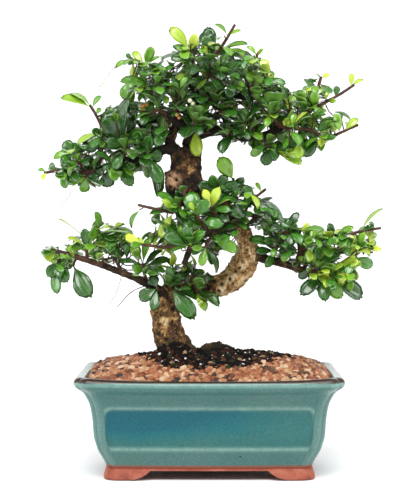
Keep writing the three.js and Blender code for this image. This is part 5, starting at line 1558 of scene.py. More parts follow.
@dataclass
class Foliage:
    """The sprays of leaves with their twigs and hanging threads."""

    thickness: float = 0.00032
    seed: int = 31
    # What differs from leaf to leaf, with its least and its most
    moods: tuple[tuple[str, float, float], ...] = (
        ("chance", -1, 1), ("cup", 0.1, 0.5), ("twist", -0.5, 0.5), ("curl", -0.04, 0.12),
    )

    def build(self) -> list[Object]:
        """Makes the leaves of each spray and all the twigs.

        Returns:
            The finished pieces.
        """
        grown, shoots = grow_leaves()
        leaf, tree = WaxyLeaf().material(), self.leaf_tree()
        rng = np.random.default_rng(self.seed)
        pieces = [self.leaves(name, leaves, tree, leaf, rng) for name, leaves in grown.items()]
        return [*pieces, *self.twigs(shoots), self.buds()]

    def leaves(self, name: str, leaves: list[Leaf], tree: NodeTree, look: Material,
               rng: np.random.Generator) -> Object:
        """Makes the leaves of one spray.

        Args:
            name: The spray.
            leaves: Its grown leaves.
            tree: The tree that shapes a leaf.
            look: The leaves' material.
            rng: Draws what differs from leaf to leaf.

        Returns:
            The finished piece.
        """
        along, facing, necks = (
            np.array([getattr(leaf, part) for leaf in leaves]) for part in ("along", "facing", "neck")
        )
        length, width, tone = (
            np.array([getattr(leaf, part) for leaf in leaves]) for part in ("length", "width", "tone")
        )
        values = {
            "along": along, "facing": facing, "across": np.cross(along, facing),
            "length": length * MM, "half": width * MM / 2, "tone": tone / 3,
        }
        for label, least, most in self.moods:
            values[label] = rng.uniform(least, most, len(leaves))
        made = make_object(f"leaves_{name}", necks, [], values)
        made = finish_with(made, tree, {"Material": look, "Thickness": self.thickness})
        return place(made, Slot.LEAF, f"spray_{name}")

    def leaf_tree(self) -> NodeTree:
        """Builds the tree that sets a leaf on every point: a blade of two sheets that meet at the rim.

        Returns:
            The tree, which reads each leaf's directions and sizes from its point.
        """
        add, given = new_tree("Leaf on its neck", {"Thickness": 0.0003, "Arch": ARCH})
        number, vector = (
            {label: add(f"InputNamedAttribute {kind}", {"Name": label}) for label in labels}
            for kind, labels in (
                ("FLOAT", ("length", "half", "cup", "twist", "curl")),
                ("FLOAT_VECTOR", ("neck", "blade", "along", "across", "facing")),
            )
        )
        here = add("InputPosition")
        grid = add("MeshGrid", {"Size X": 1.0, "Size Y": 2.0, "Vertices X": 8, "Vertices Y": 5})
        mapped = add("StoreNamedAttribute FLOAT2", {
            "Geometry": grid, "Name": "UVMap", "Value": grid.outputs["UV Map"],
        }, domain="CORNER")
        column, row, _ = add("SeparateXYZ", here).outputs
        share = add("ADD", column, 0.5)
        ends = add("MULTIPLY", share, ("SUBTRACT", 1.0, share))
        inner = add("SUBTRACT", 1.0, ("MULTIPLY", row, row))
        bulge = add("MULTIPLY", inner, ("MULTIPLY", ends, 4.0))
        sheets = []
        for way in (1.0, -1.0):
            at = add("CombineXYZ", share, row, ("MULTIPLY", bulge, way))
            sheet = add("SetPosition", {"Geometry": mapped, "Position": at})
            side = add("StoreNamedAttribute FLOAT", {
                "Geometry": sheet, "Name": "underside", "Value": float(way < 0),
            }, domain="FACE")
            sheets.append(side if way > 0 else add("FlipFaces", side))
        both = add("JoinGeometry")
        for sheet in reversed(sheets):
            wire(both, [sheet])
        merged = add("MergeByDistance", {"Geometry": both, "Distance": 0.0001})
        blade, necks = (
            add("StoreNamedAttribute FLOAT_VECTOR", {"Geometry": what, "Name": label, "Value": here})
            for what, label in ((merged, "blade"), (given["Geometry"], "neck"))
        )
        points = add("MeshToPoints", {"Mesh": necks})
        real = add("RealizeInstances", ("InstanceOnPoints", {"Points": points, "Instance": blade}))
        # Each point of a blade finds its place from the leaf's own directions
        u, v, h = add("SeparateXYZ", vector["blade"]).outputs
        off_rib = add("ABSOLUTE", v)
        tip = set_curve(add("FloatCurve", {"Value": off_rib}), [(0, 1), (1, 0.95), (0.5, 0.94)])
        run = add("MULTIPLY", u, tip)
        half = set_curve(add("FloatCurve", {"Value": u}), [
            (0, 0.05), (1, 0.42), (0.12, 0.09), (0.28, 0.42), (0.45, 0.78), (0.62, 1), (0.8, 0.96), (0.92, 0.74),
        ])
        wide = add("MULTIPLY", half, number["half"])
        angle = add("MULTIPLY", u, number["twist"])
        across, facing = (
            add("VectorRotate", {"Vector": vector[axis], "Axis": vector["along"], "Angle": angle})
            for axis in ("across", "facing")
        )
        bow = add("MULTIPLY_ADD", run, 2.0, -1.0)
        round_ = add("SUBTRACT", 1.0, ("MULTIPLY", bow, bow))
        arch = add("MULTIPLY", round_, given["Arch"])
        drop = add("MULTIPLY", ("POWER", run, 3.0), number["curl"])
        rise = add("MULTIPLY", ("SUBTRACT", arch, drop), number["length"])
        cupped = add("MULTIPLY", ("POWER", off_rib, 1.6), number["cup"])
        fold = add("MULTIPLY_ADD", cupped, wide, rise)
        skin = add("MULTIPLY", given["Thickness"], 0.5)
        spot = vector["neck"]
        for axis, amount in (
            (vector["along"], add("MULTIPLY", run, number["length"])),
            (across, add("MULTIPLY", wide, v)),
            (facing, add("MULTIPLY_ADD", h, skin, fold)),
        ):
            spot = add("VectorMath ADD", spot, ("VectorMath SCALE", {0: axis, 3: amount}))
        shaped = add("SetPosition", {"Geometry": real, "Position": spot})
        return end_tree(given, add("SetShadeSmooth", shaped))

    def buds(self) -> Object:
        """Makes the flower buds and young berries as small balls at their places.

        Returns:
            The finished piece.
        """
        rows = np.array(list(BUDS.values()), float)
        points = np.array([VIEW.point(row) for row in rows])
        made = make_object("buds", points, [], {"size": rows[:, 3] * MM, "ripeness": rows[:, 4]})
        add, given = new_tree("Balls on points", {"Sides": 10})
        ball = add("MeshUVSphere", {"Segments": given["Sides"], "Rings": 7, "Radius": 1.0})
        points = add("MeshToPoints", {"Mesh": given["Geometry"]})
        size = add("InputNamedAttribute FLOAT", {"Name": "size"})
        balls = add("InstanceOnPoints", {"Points": points, "Instance": ball, "Scale": size})
        smooth = add("SetShadeSmooth", ("RealizeInstances", balls))
        made = finish_with(made, end_tree(given, smooth), {"Material": BudSkin().material()})
        return place(made, Slot.LEAF)

    def twigs(self, shoots: list[list[Array]]) -> list[Object]:
        """Makes the twigs of all sprays with their short shoots and the fine threads.

        Args:
            shoots: The start and end of each short shoot.

        Returns:
            The finished pieces.
        """
        look = TwigBark().material()
        tree = stem_tree()
        routes = [twig_limb(points).route for spray in SPRAYS.values() for points in spray.twigs]
        half = len(routes) // 2
        paths = {name: [stem_path(route) for route in group] for name, group in (
            ("twigs_lower", routes[:half]), ("twigs_upper", routes[half:]), ("threads", TENDRILS.values()),
        )}
        paths["shoots"] = [[(*spot, 0.5) for spot in shoot] for shoot in shoots]
        pieces = []
        for name, group in paths.items():
            made = finish_with(stem_curves(name, group), tree, {"Material": look, "Sides": 7, "Knots": 0.18})
            pieces.append(place(made, Slot.BARK))
        return pieces


@dataclass(frozen=True)
class OldBark:
    """Old bark of the trunk and branches: fissured, tan where it has worn, nearly black higher up."""

    tan: str = "#dcc59c"
    ochre: str = "#ad8650"
    brown: str = "#5c4026"
    black: str = "#18110b"
    moss: str = "#6b6130"
    cut: str = "#d3a683"

    def material(self) -> Material:
        """Dull bark: pale ridges over dark fissures, with olive algae low on the trunk; the pits are painted black as
        shade, and the fissures are darkened partly by the bark's own colour and partly as painted shade.

        Returns:
            The material.
        """
        material, add, shader, place_ = new_material("Fissured bark", roughness=0.82, specular_ior_level=0.3)
        shade, damp, pit, scar, crevice, worn = (
            add("Attribute", attribute_name=label).outputs["Fac"]
            for label in ("shade", "damp", "pit", "scar", "crevice", "worn")
        )
        # Blotches of 6 mm, plates of 1.5 mm and grain of 0.3 mm
        blotch, plate, grain = (
            add("TexNoise", {"Vector": place_, "Scale": scale, "Detail": detail, "Roughness": rough})
            for scale, detail, rough in ((150.0, 4.0, 0.65), (620.0, 5.0, 0.7), (2600.0, 2.0, 0.5))
        )
        bare = add("MULTIPLY_ADD", worn, -0.7, shade)
        level = add("MULTIPLY_ADD", blotch, 3.0, bare)
        fine = add("MULTIPLY_ADD", plate, 2.0, level)
        colour = set_ramp(add("ValToRGB", ("MapRange", fine, 2.15, 3.6)), [
            (0.0, self.tan), (0.32, self.ochre), (0.58, self.brown), (1.0, self.black),
        ])
        wet = add("MULTIPLY", damp, plate)
        # Fissures darken, partly the bark's own colour and partly painted shade; pits are painted black as shade
        deep = add("MapRange", crevice, 0.52, 0.3, 0.0, 0.75)
        dark = add("MAXIMUM", deep, pit)
        for share, code in ((wet, self.moss), (scar, self.cut), (dark, self.black)):
            colour = add("Mix RGBA", {0: share, 6: colour, 7: linear(code)})
        height = add("MULTIPLY_ADD", grain, 0.35, plate)
        bump = add("Bump", {"Strength": 0.7, "Distance": 0.0009, "Height": height})
        wire(shader, {"Base Color": colour, "Normal": bump})
        return material


@dataclass(frozen=True)
class TwigBark:
    """Young bark of the twigs: smooth, dark and slightly red, with pale specks of lenticels."""

    dark: str = "#2b1a12"
    red: str = "#5a3422"
    speck: str = "#8a6a4c"

    def material(self) -> Material:
        """Dark, slightly satin bark with specks.

        Returns:
            The material.
        """
        material, add, shader, place_ = new_material("Young twig bark", roughness=0.62, specular_ior_level=0.35)
        blotch, specks = (
            add("TexNoise", {"Vector": place_, "Scale": scale, "Detail": detail})
            for scale, detail in ((220.0, 4.0), (1500.0, 2.0))
        )
        ramp = set_ramp(add("ValToRGB", blotch), [(0.35, self.dark), (0.7, self.red)])
        share = add("MapRange", specks, 0.62, 0.72)
        wire(shader, {
            "Base Color": ("Mix RGBA", {0: share, 6: ramp, 7: linear(self.speck)}),
            "Normal": ("Bump", {"Strength": 0.5, "Distance": 0.0003, "Height": specks}),
        })
        return material


@dataclass
class Wood:
    """The trunk with its surface roots, and the branches."""

    voxel: float = 0.75
    heavy: float = 5.1
    relief: float = 0.0015
    # Hollows and scars on the front: column, row, radius in columns and depth; the hollows are painted black as shade
    pits: list[Row] = field(default_factory=lambda: [
        (170, 176, 2.4, 2.4), (176.5, 180, 2.2, 2), (170.5, 187, 2.4, 2.2), (177.5, 173, 1.8, 1.6),
        (175, 190, 1.8, 1.5),
        (243, 262, 3.2, 1.6), (236, 272, 2.9, 1.4), (208, 287, 4.4, 1.4), (222, 284, 2.8, 1.2), (172, 322, 2.5, 1.3),
        (166, 340, 3, 1.5), (247, 250, 2.4, 1.2), (240, 268, 2, 1), (230, 279, 2.8, 1.2), (249, 256, 1.8, 1),
        (214, 281, 3.4, 1.3), (219, 291, 2.6, 1.2), (226, 275, 2.4, 1), (173, 309, 5, 0.8), (158, 334, 3.4, 1),
        (233, 284, 1.6, 1), (158, 318, 2, 1.2), (176, 334, 2, 1.2), (163, 306, 2.2, 1.2), (171, 302, 2, 1),
    ])
    scars: list[Row] = field(default_factory=lambda: [(190.5, 133.5, 4.5, 0.6), (173.5, 180, 11, 0)])
    worn: list[Row] = field(default_factory=lambda: [(189, 164, 13, 0), (165, 322, 7, 0), (222, 290, 7, 0)])
    # The cut stump of a lost branch on the front of the trunk
    stub: Limb = field(default_factory=lambda: Limb(14, [
        (180, 204, -5, 6), (176, 190, -11, 6.3), (173.5, 180, -13, 6.2), (173, 171.5, -13, 5.8),
    ]))

    # Heights between which the bark changes, and places across for its tan and its root sides
    black_from: Row = (185, 212)
    tan_from: Row = (100, 118)
    tan_to: Row = (178, 196)
    tan_side: Row = (-6, 14)
    low_to: Row = (90, 110)
    root_to: Row = (94, 102)
    root_side: Row = (-4, 8)
    damp_to: Row = (92, 108)

    def build(self) -> list[Object]:
        """Makes the trunk and the branches.

        Returns:
            The finished pieces.
        """
        look = OldBark().material()
        heavy = [limb for limb in LIMBS.values() if max(row[3] for row in limb.route) >= self.heavy]
        light = [limb.route for limb in LIMBS.values() if limb not in heavy]
        trunk = self.trunk([*heavy, self.stub])
        self.colour(trunk)
        trunk = finish_with(trunk, self.relief_tree(), {"Material": look, "Depth": self.relief})
        branches = stem_curves("branches", map(stem_path, light))
        branches = finish_with(branches, stem_tree(), {"Material": look, "Sides": 14, "Knots": 0.2})
        self.colour(branches)
        return [place(trunk, Slot.BARK, "trunk"), place(branches, Slot.BARK, "trunk")]

    def trunk(self, limbs: Iterable[Limb]) -> Object:
        """Makes one skin round the heavy limbs.

        Args:
            limbs: The heavy limbs.

        Returns:
            The object, before its bark is raised.
        """
        points, faces, count = [], [], 0
        for limb in limbs:
            spots, quads = loft(limb_rings(limb, steps=6, sides=24))
            points.append(spots)
            faces += [tuple(i + count for i in quad) for quad in quads]
            count += len(spots)
        made = make_object("trunk_wood", np.concatenate(points), faces)
        grown = made.modifiers.new("skin", "REMESH")
        grown.mode, grown.voxel_size = "VOXEL", self.voxel * MM
        eased = made.modifiers.new("ease", "SMOOTH")
        eased.factor, eased.iterations = 0.5, 5
        made = settle(made)
        made.data.shade_smooth()
        self.carve(made.data)
        return made

    def carve(self, mesh: Mesh) -> None:
        """Presses the pits into the front of the trunk, and marks them, for their painted shade, and the scars.

        Args:
            mesh: The trunk's mesh.
        """
        spots = points_of(mesh)
        columns, rows = VIEW.seen(spots)
        normals = np.zeros(3 * len(mesh.vertices), np.float32)
        mesh.vertices.foreach_get("normal", normals)
        front = np.clip(-normals.reshape(-1, 3)[:, 1] * 2, 0, 1)
        marks = {label: np.zeros(len(spots)) for label in ("pit", "scar", "worn")}
        for label, places in (("pit", self.pits), ("scar", self.scars), ("worn", self.worn)):
            for column, row, radius, depth in places:
                off = np.hypot(columns - column, rows - row) / radius
                hollow = front * (1 - soft_step(0.2, 1.0, off))
                spots[:, 1] += hollow * depth
                marks[label] = np.maximum(marks[label], hollow)
        mesh.vertices.foreach_set("co", ((spots + POT_MIDDLE) * MM).ravel())
        for label, numbers in marks.items():
            set_values(mesh, label, numbers)

    def colour(self, made: Object) -> None:
        """Marks how dark and how damp the bark is: dark high up and in the branches, damp at the foot.

        Args:
            made: The trunk or the branches.
        """
        x, _, height = points_of(made.data).T
        dark = soft_step(*self.black_from, height) + 0.75 * (made.name == "branches")
        tan = soft_step(*self.tan_from, height) - soft_step(*self.tan_to, height)
        tan *= soft_step(*self.tan_side, x)
        low = 1 - soft_step(*self.low_to, height)
        root = soft_step(*self.root_side, x) * (1 - soft_step(*self.root_to, height))
        set_values(made.data, "shade", np.clip(0.5 + 0.5 * dark - 0.5 * tan + 0.5 * low + 1.2 * root, 0, 2))
        set_values(made.data, "damp", 0.6 * (1 - soft_step(*self.damp_to, height)) * (1 - root))

    def relief_tree(self) -> NodeTree:
        """Builds the tree that raises the bark in plates along the wood.

        Returns:
            The tree, with the depth of its fissures as an input.
        """
        add, given = new_tree("Bark relief", {"Depth": 0.001, "Seed": 3})
        long = add("VectorMath MULTIPLY", ("InputPosition",), (1.0, 1.0, 0.5))
        coarse, plates = (
            add("TexNoise", {
                "Vector": long, "W": given["Seed"], "Scale": scale, "Detail": detail, "Roughness": rough,
            }, noise_dimensions="4D")
            for scale, detail, rough in ((120.0, 2.0, 0.5), (430.0, 4.0, 0.6))
        )
        level = add("ADD", ("MULTIPLY_ADD", coarse, 0.9, plates), -0.95)
        deep = add("MULTIPLY", given["Depth"], 5.0)
        push = add("MULTIPLY", level, deep)
        away = add("VectorMath SCALE", {0: ("InputNormal",), 3: push})
        marked = add("StoreNamedAttribute FLOAT", {
            "Geometry": given["Geometry"], "Name": "crevice", "Value": plates,
        })
        return end_tree(given, add("SetPosition", {"Geometry": marked, "Offset": away}))


@dataclass(frozen=True)
class TealGlaze:
    """Teal glaze over a red stoneware body: pooled dark in hollows, thin and pale on edges, with a pale painted
    highlight along the edges, the corner ridges and under the lip.
    """

    border: str = "#476b67"
    green: str = "#30615c"
    teal: str = "#0e595f"
    blue: str = "#004f5c"
    thin: str = "#86a69c"
    rim: str = "#33241c"
    speck: str = "#20181a"
    clay: str = "#84412e"

    def material(self) -> Material:
        """A glossy glaze that breaks pale over edges, where a painted highlight runs too, with a dark purple lip and
        bare red clay.

        Returns:
            The material.
        """
        material, add, shader, place_ = new_material("Teal glazed stoneware", ior=1.46, specular_ior_level=0.33)
        thin, pool, lip, bare = (
            add("Attribute", attribute_name=label).outputs["Fac"] for label in ("thin", "pool", "lip", "bare")
        )
        # Clouds of 4 cm, streaks of 6 mm and mottling of about a millimetre
        clouds, drift, fine = (
            add("TexNoise", {"Vector": place_, "Scale": scale, "Detail": detail, "Roughness": rough})
            for scale, detail, rough in ((24.0, 4.0, 0.6), (160.0, 5.0, 0.7), (800.0, 3.0, 0.5))
        )
        flow = add("MULTIPLY_ADD", clouds, 0.5, pool)
        base = set_ramp(add("ValToRGB", flow), [
            (0.2, self.border), (0.5, self.green), (0.8, self.teal), (1.0, self.blue),
        ])
        mottle = add("MapRange", fine, 0.0, 1.0, 0.5, 1.5)
        # Pale on edges, corner ridges and under the lip: partly glaze that breaks thin, partly painted highlight
        ragged = add("MULTIPLY", drift, 1.6)
        thin_glaze_and_highlight_share = add("MULTIPLY", thin, ragged)
        # Pinholes where the glaze has crawled off specks of the body, about 1 mm wide
        cells = add("TexVoronoi", {"Vector": place_, "Scale": 60.0, "Randomness": 1.0})
        hole = add("MapRange", cells, 0.05, 0.03)
        colour = add("VectorMath SCALE", {0: base, 3: mottle})
        for share, code in ((thin_glaze_and_highlight_share, self.thin), (lip, self.rim), (hole, self.speck), (bare, self.clay)):
            colour = add("Mix RGBA", {0: share, 6: colour, 7: linear(code)})
        gloss = add("MapRange", drift, 0.0, 1.0, 0.1, 0.3)
        peel = add("MULTIPLY_ADD", drift, 0.5, clouds)
        wire(shader, {
            "Base Color": colour,
            "Roughness": ("MULTIPLY_ADD", bare, 0.6, gloss),
            "Normal": ("Bump", {"Strength": 0.25, "Distance": 0.0012, "Height": peel}),
        })
        return material


# Coarse red clay with fine grog, matt where the feet are bare
RED_CLAY = Mottled("Bare fired red clay", 0.78, 0.35, (90.0, 5.0, 0.65), (
    (0.3, "#6b3123"), (0.52, "#96503d"), (0.75, "#ad7060"),
), (1100.0, 3.0, 0.5, 0.0005))


@dataclass
class Pot:
    """The rectangular pot: bowed walls, dented corners, recessed panels, flared lip and bracket feet."""

    length: float = 203.2
    depth: float = 152
    bow_long: float = 2
    bow_short: float = 1
    notch_lip: float = 6
    notch_body: float = 5
    outer: list[Row] = field(default_factory=lambda: [
        (7.5, 25), (9.5, 23.5), (12.4, 22.3), (16.2, 20.5), (19.8, 18.6), (23.6, 16.8), (31, 14.4), (38, 13.6),
        (46, 13.1),
        (56, 11.6), (62, 9.4), (66.4, 6.4), (68.8, 3), (70.8, 0.9), (73.5, 0), (76.3, 0.9),
    ])
    inner: list[Row] = field(default_factory=lambda: [
        (77.7, 3.2), (77.6, 5.6), (76.6, 7.6), (72, 9.6), (60, 15.5), (38, 19.5), (15, 29),
    ])
    corner: list[Row] = field(default_factory=lambda: [
        (-2.1, 0), (-1.65, -0.03), (-1.25, -0.15), (-0.95, -0.38), (-0.72, -0.72),
    ])
    panel_low: float = 25
    panel_high: float = 54.5
    panel_long: float = 78
    panel_short: float = 52
    panel_corner: float = 6
    panel_recess: float = 1.1
    foot_arch_long: float = 44
    foot_arch_short: float = 26
    foot_rise: float = 17
    underside: float = 7.5
    # A drain hole's radius and its distance from the middle
    drain: Row = (7, 42)
    # Where the wall starts to flare outside and inside, over what height, and how far its corners rise
    flare: float = 62
    flare_inside: float = 68
    flare_run: float = 8
    corner_lift: float = 3
    # Distances between rings on the wall, from the lip's foot up, and close to an edge of the panel
    wall_step: float = 1.3
    lip_step: float = 0.8
    lip_foot: float = 64
    edge_step: float = 0.35
    edge_reach: float = 1.4
    # Bands over which the glaze changes: by height outside, by inset inside, and by distance from the panel; the first
    # band, just under the top of the lip, is pale thin glaze with a painted highlight
    thin_glaze_and_highlight_band: Row = (71, 73)
    lip_band: Row = (74.5, 75.5)
    lip_inside: Row = (3.2, 4.4)
    bare_band: Row = (10.6, 11.6)
    bare_inside: Row = (12, 14)
    hollow_band: Row = (-1.7, 1.1)

    def build(self) -> list[Object]:
        """Makes the body and the feet.

        Returns:
            The finished pieces.
        """
        return [place(self.body(), Slot.GLAZE, "pot"), place(self.feet(), Slot.GLAZE, "pot")]

    def plan(self, inset: float, height: float, lift: float = 0) -> Array:
        """The pot's outline at a height.

        Args:
            inset: How far the outline lies inside the lip's.
            height: Its height.
            lift: How far its corners stand above its middle.

        Returns:
            Points from the middle of the right side round by the back.
        """
        half_x, half_y = self.length / 2 - inset, self.depth / 2 - inset
        corner_x, corner_y = half_x - self.bow_short, half_y - self.bow_long
        notch = self.notch_body + (self.notch_lip - self.notch_body) * self.flared(height, self.flare)
        bend = smooth_path(self.corner, 5) * notch
        reach = -self.corner[0][0] * notch
        short = np.linspace(0, 1, 24)[:-1] ** 0.8
        long = np.concatenate([np.linspace(0, 0.85, 24), np.linspace(0.87, 1, 12)])[:-1]
        quarter = np.concatenate([
            np.stack([corner_x + self.bow_short * (1 - short ** 2), short * (corner_y - reach)], 1),
            np.stack([corner_x + bend[:, 1], corner_y + bend[:, 0]], 1),
            np.stack([corner_x + bend[::-1, 0], corner_y + bend[::-1, 1]], 1)[1:],
            np.stack([long * (corner_x - reach), corner_y + self.bow_long * (1 - long ** 2)], 1)[::-1],
        ])
        half = np.concatenate([quarter, quarter[-2::-1] * (-1, 1)])
        whole = np.concatenate([half, half[-2:0:-1] * (1, -1)])
        near = np.clip(np.hypot(whole[:, 0], whole[:, 1]) / math.hypot(corner_x, corner_y), 0, 1) ** 6
        return np.column_stack([whole, height + lift * (near - 0.5)])

    def flared(self, height: float, start: float) -> float:
        """How far the wall has flared at a height, from 0 to 1."""
        return min(max((height - start) / self.flare_run, 0), 1)

    def profile(self) -> list[tuple[float, float, float]]:
        """The wall's profile from the underside over the lip to the floor.

        Returns:
            For each ring its inset, height and lift of the corners.
        """
        path = smooth_path([*self.outer, *self.inner], 24)
        top = 24 * len(self.outer)
        edges = (self.panel_low, self.panel_high)
        rows = []
        for i, (height, inset) in enumerate(path):
            outside = i < top
            step = self.lip_step if height > self.lip_foot else self.wall_step
            if outside and min(abs(height - edge) for edge in edges) < self.edge_reach:
                step = self.edge_step
            along = math.hypot(height - rows[-1][1], inset - rows[-1][0]) if rows else math.inf
            if along >= step or i == len(path) - 1:
                rise = self.flared(height, self.flare if outside else self.flare_inside)
                rows.append((inset, height, self.corner_lift * rise))
        return rows

    def body(self) -> Object:
        """Makes the glazed body.

        Returns:
            The object, with marks for its glaze.
        """
        rows = self.profile()
        rings = [self.plan(*row) for row in rows]
        points, faces = loft(rings)
        count = len(rings[0])
        long = np.tile(np.abs(rings[0][:, 1]) > np.abs(rings[0][:, 0]) * (self.depth / self.length), len(rings))
        height = points[:, 2]
        top = max(range(len(rows)), key=lambda i: rows[i][1])
        outside = np.repeat(np.arange(len(rows)), count) <= top
        off = self.from_panel(points, long)
        hollow = np.where(outside, 1 - soft_step(*self.hollow_band, off), 0)
        ridge = self.ridges(rings)
        upper_left = soft_step(-80, 60, -points[:, 0]) * soft_step(26, 50, height)
        edge = np.exp(-((off - 0.7) / 1.5) ** 2) * outside
        inset = np.repeat([row[0] for row in rows], count)
        values = {
            "pool": hollow * (0.3 + 0.7 * upper_left),
            # Pale marks on the panel's edges, the corner ridges and under the lip: partly thin glaze, partly painted
            # highlight
            "thin": np.clip(0.55 * edge + outside * (0.6 * ridge + 0.5 * soft_step(*self.thin_glaze_and_highlight_band, height)), 0, 1),
            "lip": outside * soft_step(*self.lip_band, height) + ~outside * (1 - soft_step(*self.lip_inside, inset)),
            "bare": outside * (1 - soft_step(*self.bare_band, height))
            + ~outside * soft_step(*self.bare_inside, inset),
        }
        inwards = hollow * self.panel_recess
        points[:, 1] -= np.where(long, np.sign(points[:, 1]) * inwards, 0)
        points[:, 0] -= np.where(long, 0, np.sign(points[:, 0]) * inwards)
        made = make_object("pot_body", points, faces, values)
        made = cut_with(made, [self.drill(way * self.drain[1]) for way in (-1, 1)])
        return dress(made, TealGlaze().material())

    def ridges(self, rings: Sequence[Array]) -> Array:
        """How much each point of the rings stands on a ridge of a corner, from 0 to 1.

        Args:
            rings: The body's rings.

        Returns:
            One number for each point.
        """
        marks = []
        for ring in rings:
            before, after = np.roll(ring, 1, 0) - ring, np.roll(ring, -1, 0) - ring
            lengths = np.linalg.norm(before, axis=1) * np.linalg.norm(after, axis=1)
            turn = before[:, 0] * after[:, 1] - before[:, 1] * after[:, 0]
            marks.append(np.clip(-turn / lengths * 4, 0, 1))
        return np.concatenate(marks)

    def from_panel(self, points: Array, long: Array) -> Array:
        """How far points lie outside the outline of their side's panel; below 0 is inside.

        Args:
            points: The points.
            long: Whether each is on a long side.

        Returns:
            The distances.
        """
        along = np.where(long, points[:, 0], points[:, 1])
        half = np.where(long, self.panel_long, self.panel_short) - self.panel_corner
        middle, tall = (self.panel_low + self.panel_high) / 2, (self.panel_high - self.panel_low) / 2
        over = np.stack([np.abs(along) - half, np.abs(points[:, 2] - middle) - tall + self.panel_corner])
        return np.hypot(*np.maximum(over, 0)) + np.minimum(over.max(0), 0) - self.panel_corner

    def drill(self, x: float) -> Object:
        """A round bar that cuts a drain hole.

        Args:
            x: Its place across.

        Returns:
            The cutting bar.
        """
        angles = 2 * math.pi * np.arange(40) / 40
        ring = np.stack([x + self.drain[0] * np.cos(angles), self.drain[0] * np.sin(angles)], 1)
        return make_object("drill", *loft([np.column_stack([ring, np.full(40, z)]) for z in (0.0, 30.0)]))

    def feet(self) -> Object:
        """Makes the four bracket feet, cut out of one band.

        Returns:
            The object.
        """
        skin = smooth_path([(23.4, 0.0), (21.6, 0.9), (21.2, 2.6), (22, 5), (22.9, 7.5), (25, 10)], 4)
        rows = [*skin, (32.5, 10), (32.5, 0)]
        points, faces = loft([self.plan(inset, height) for inset, height in rows], joined=True)
        made = make_object("pot_feet", points, faces)
        long = self.arch(self.foot_arch_long, self.depth, False)
        short = self.arch(self.foot_arch_short, self.length, True)
        return dress(cut_with(made, [long, short]), RED_CLAY.material())

    def arch(self, half: float, reach: float, along_x: bool) -> Object:
        """The opening between two feet, as a block that cuts them apart.

        Args:
            half: Half the opening's width at the underside.
            reach: The block's length.
            along_x: Whether the block lies along x, not y.

        Returns:
            The cutting block.
        """
        wide, steps = half + self.foot_rise, np.linspace(0, 1, 12)
        pull = half + 0.3 * self.foot_rise
        curve_x = (1 - steps) ** 2 * wide + 2 * steps * (1 - steps) * pull + steps ** 2 * half
        curve_z = 2 * steps * (1 - steps) * 2 + steps ** 2 * self.underside
        right = [(wide, -1.0), *zip(curve_x, curve_z)]
        outline = right + [(-x, z) for x, z in reversed(right)]
        rings = [[(x, y, z) for x, z in outline] for y in (-reach / 2, reach / 2)]
        points = np.array(rings)
        points = points[:, :, [1, 0, 2]] if along_x else points[:, ::-1]
        return make_object("arch", *loft(list(points)))


@dataclass(frozen=True)
class Grains:
    """Loose grains, each in one colour by its chance, with specks that darken and roughen it."""

    name: str
    roughness: float
    gleam: float
    specks: Row
    level: Row
    bump: Row
    colours: tuple[tuple[float, str], ...]

    def material(self) -> Material:
        """Dull grains in a few flat colours, with a level by from, from, to and to.

        Returns:
            The material.
        """
        material, add, shader, place_ = new_material(
            self.name, roughness=self.roughness, specular_ior_level=self.gleam
        )
        scale, detail, rough = self.specks
        specks = add("TexNoise", {"Vector": place_, "Scale": scale, "Detail": detail, "Roughness": rough})
        chance = add("Attribute", attribute_name="chance").outputs["Fac"]
        ramp = set_ramp(add("ValToRGB", chance), self.colours, steps=True)
        level = add("MapRange", specks, *self.level)
        strength, distance = self.bump
        wire(shader, {
            "Base Color": ("VectorMath SCALE", {0: ramp, 3: level}),
            "Normal": ("Bump", {"Strength": strength, "Distance": distance, "Height": specks}),
        })
        return material


# Small river gravel: rounded grains of pink granite, quartz and ironstone
RIVER_GRAVEL = Grains("River gravel", 0.55, 0.45, (1300.0, 4.0, 0.65), (0.0, 1.0, 0.4, 0.98), (0.4, 0.0004), (
    (0.0, "#24180f"), (0.05, "#60301a"), (0.17, "#914e2c"), (0.38, "#b06c43"), (0.6, "#bf8458"),
    (0.8, "#d2a57c"), (0.9, "#e2bf9c"), (0.97, "#6d4a30"),
))
# Peaty potting soil: nearly black crumbs with a slight damp gleam, a few of them bark and moss
DAMP_PEAT = Grains("Damp peat soil", 0.9, 0.15, (520.0, 6.0, 0.7), (0.3, 0.7, 0.4, 2.0), (0.8, 0.0012), (
    (0.0, "#060403"), (0.4, "#120b08"), (0.68, "#2c1710"), (0.86, "#432a1e"), (0.93, "#1d2815"), (0.975, "#7a6248"),
))
# Expanded volcanic glass: white and matt, slightly grey in its pores
PERLITE = Mottled("Perlite", 0.8, 0.5, (2200.0, 3.0, 0.5), (
    (0.35, "#9a968c"), (0.6, "#e8e6de"),
), (2200.0, 3.0, 0.5, 0.0004))
# Moulded black polyethylene with a satin gloss and a faint grain
BLACK_PLASTIC = Mottled("Black plastic netting", 0.45, 0.5, (1800.0, 2.0, 0.5), ((0.3, "#151617"), (0.8, "#232527")))


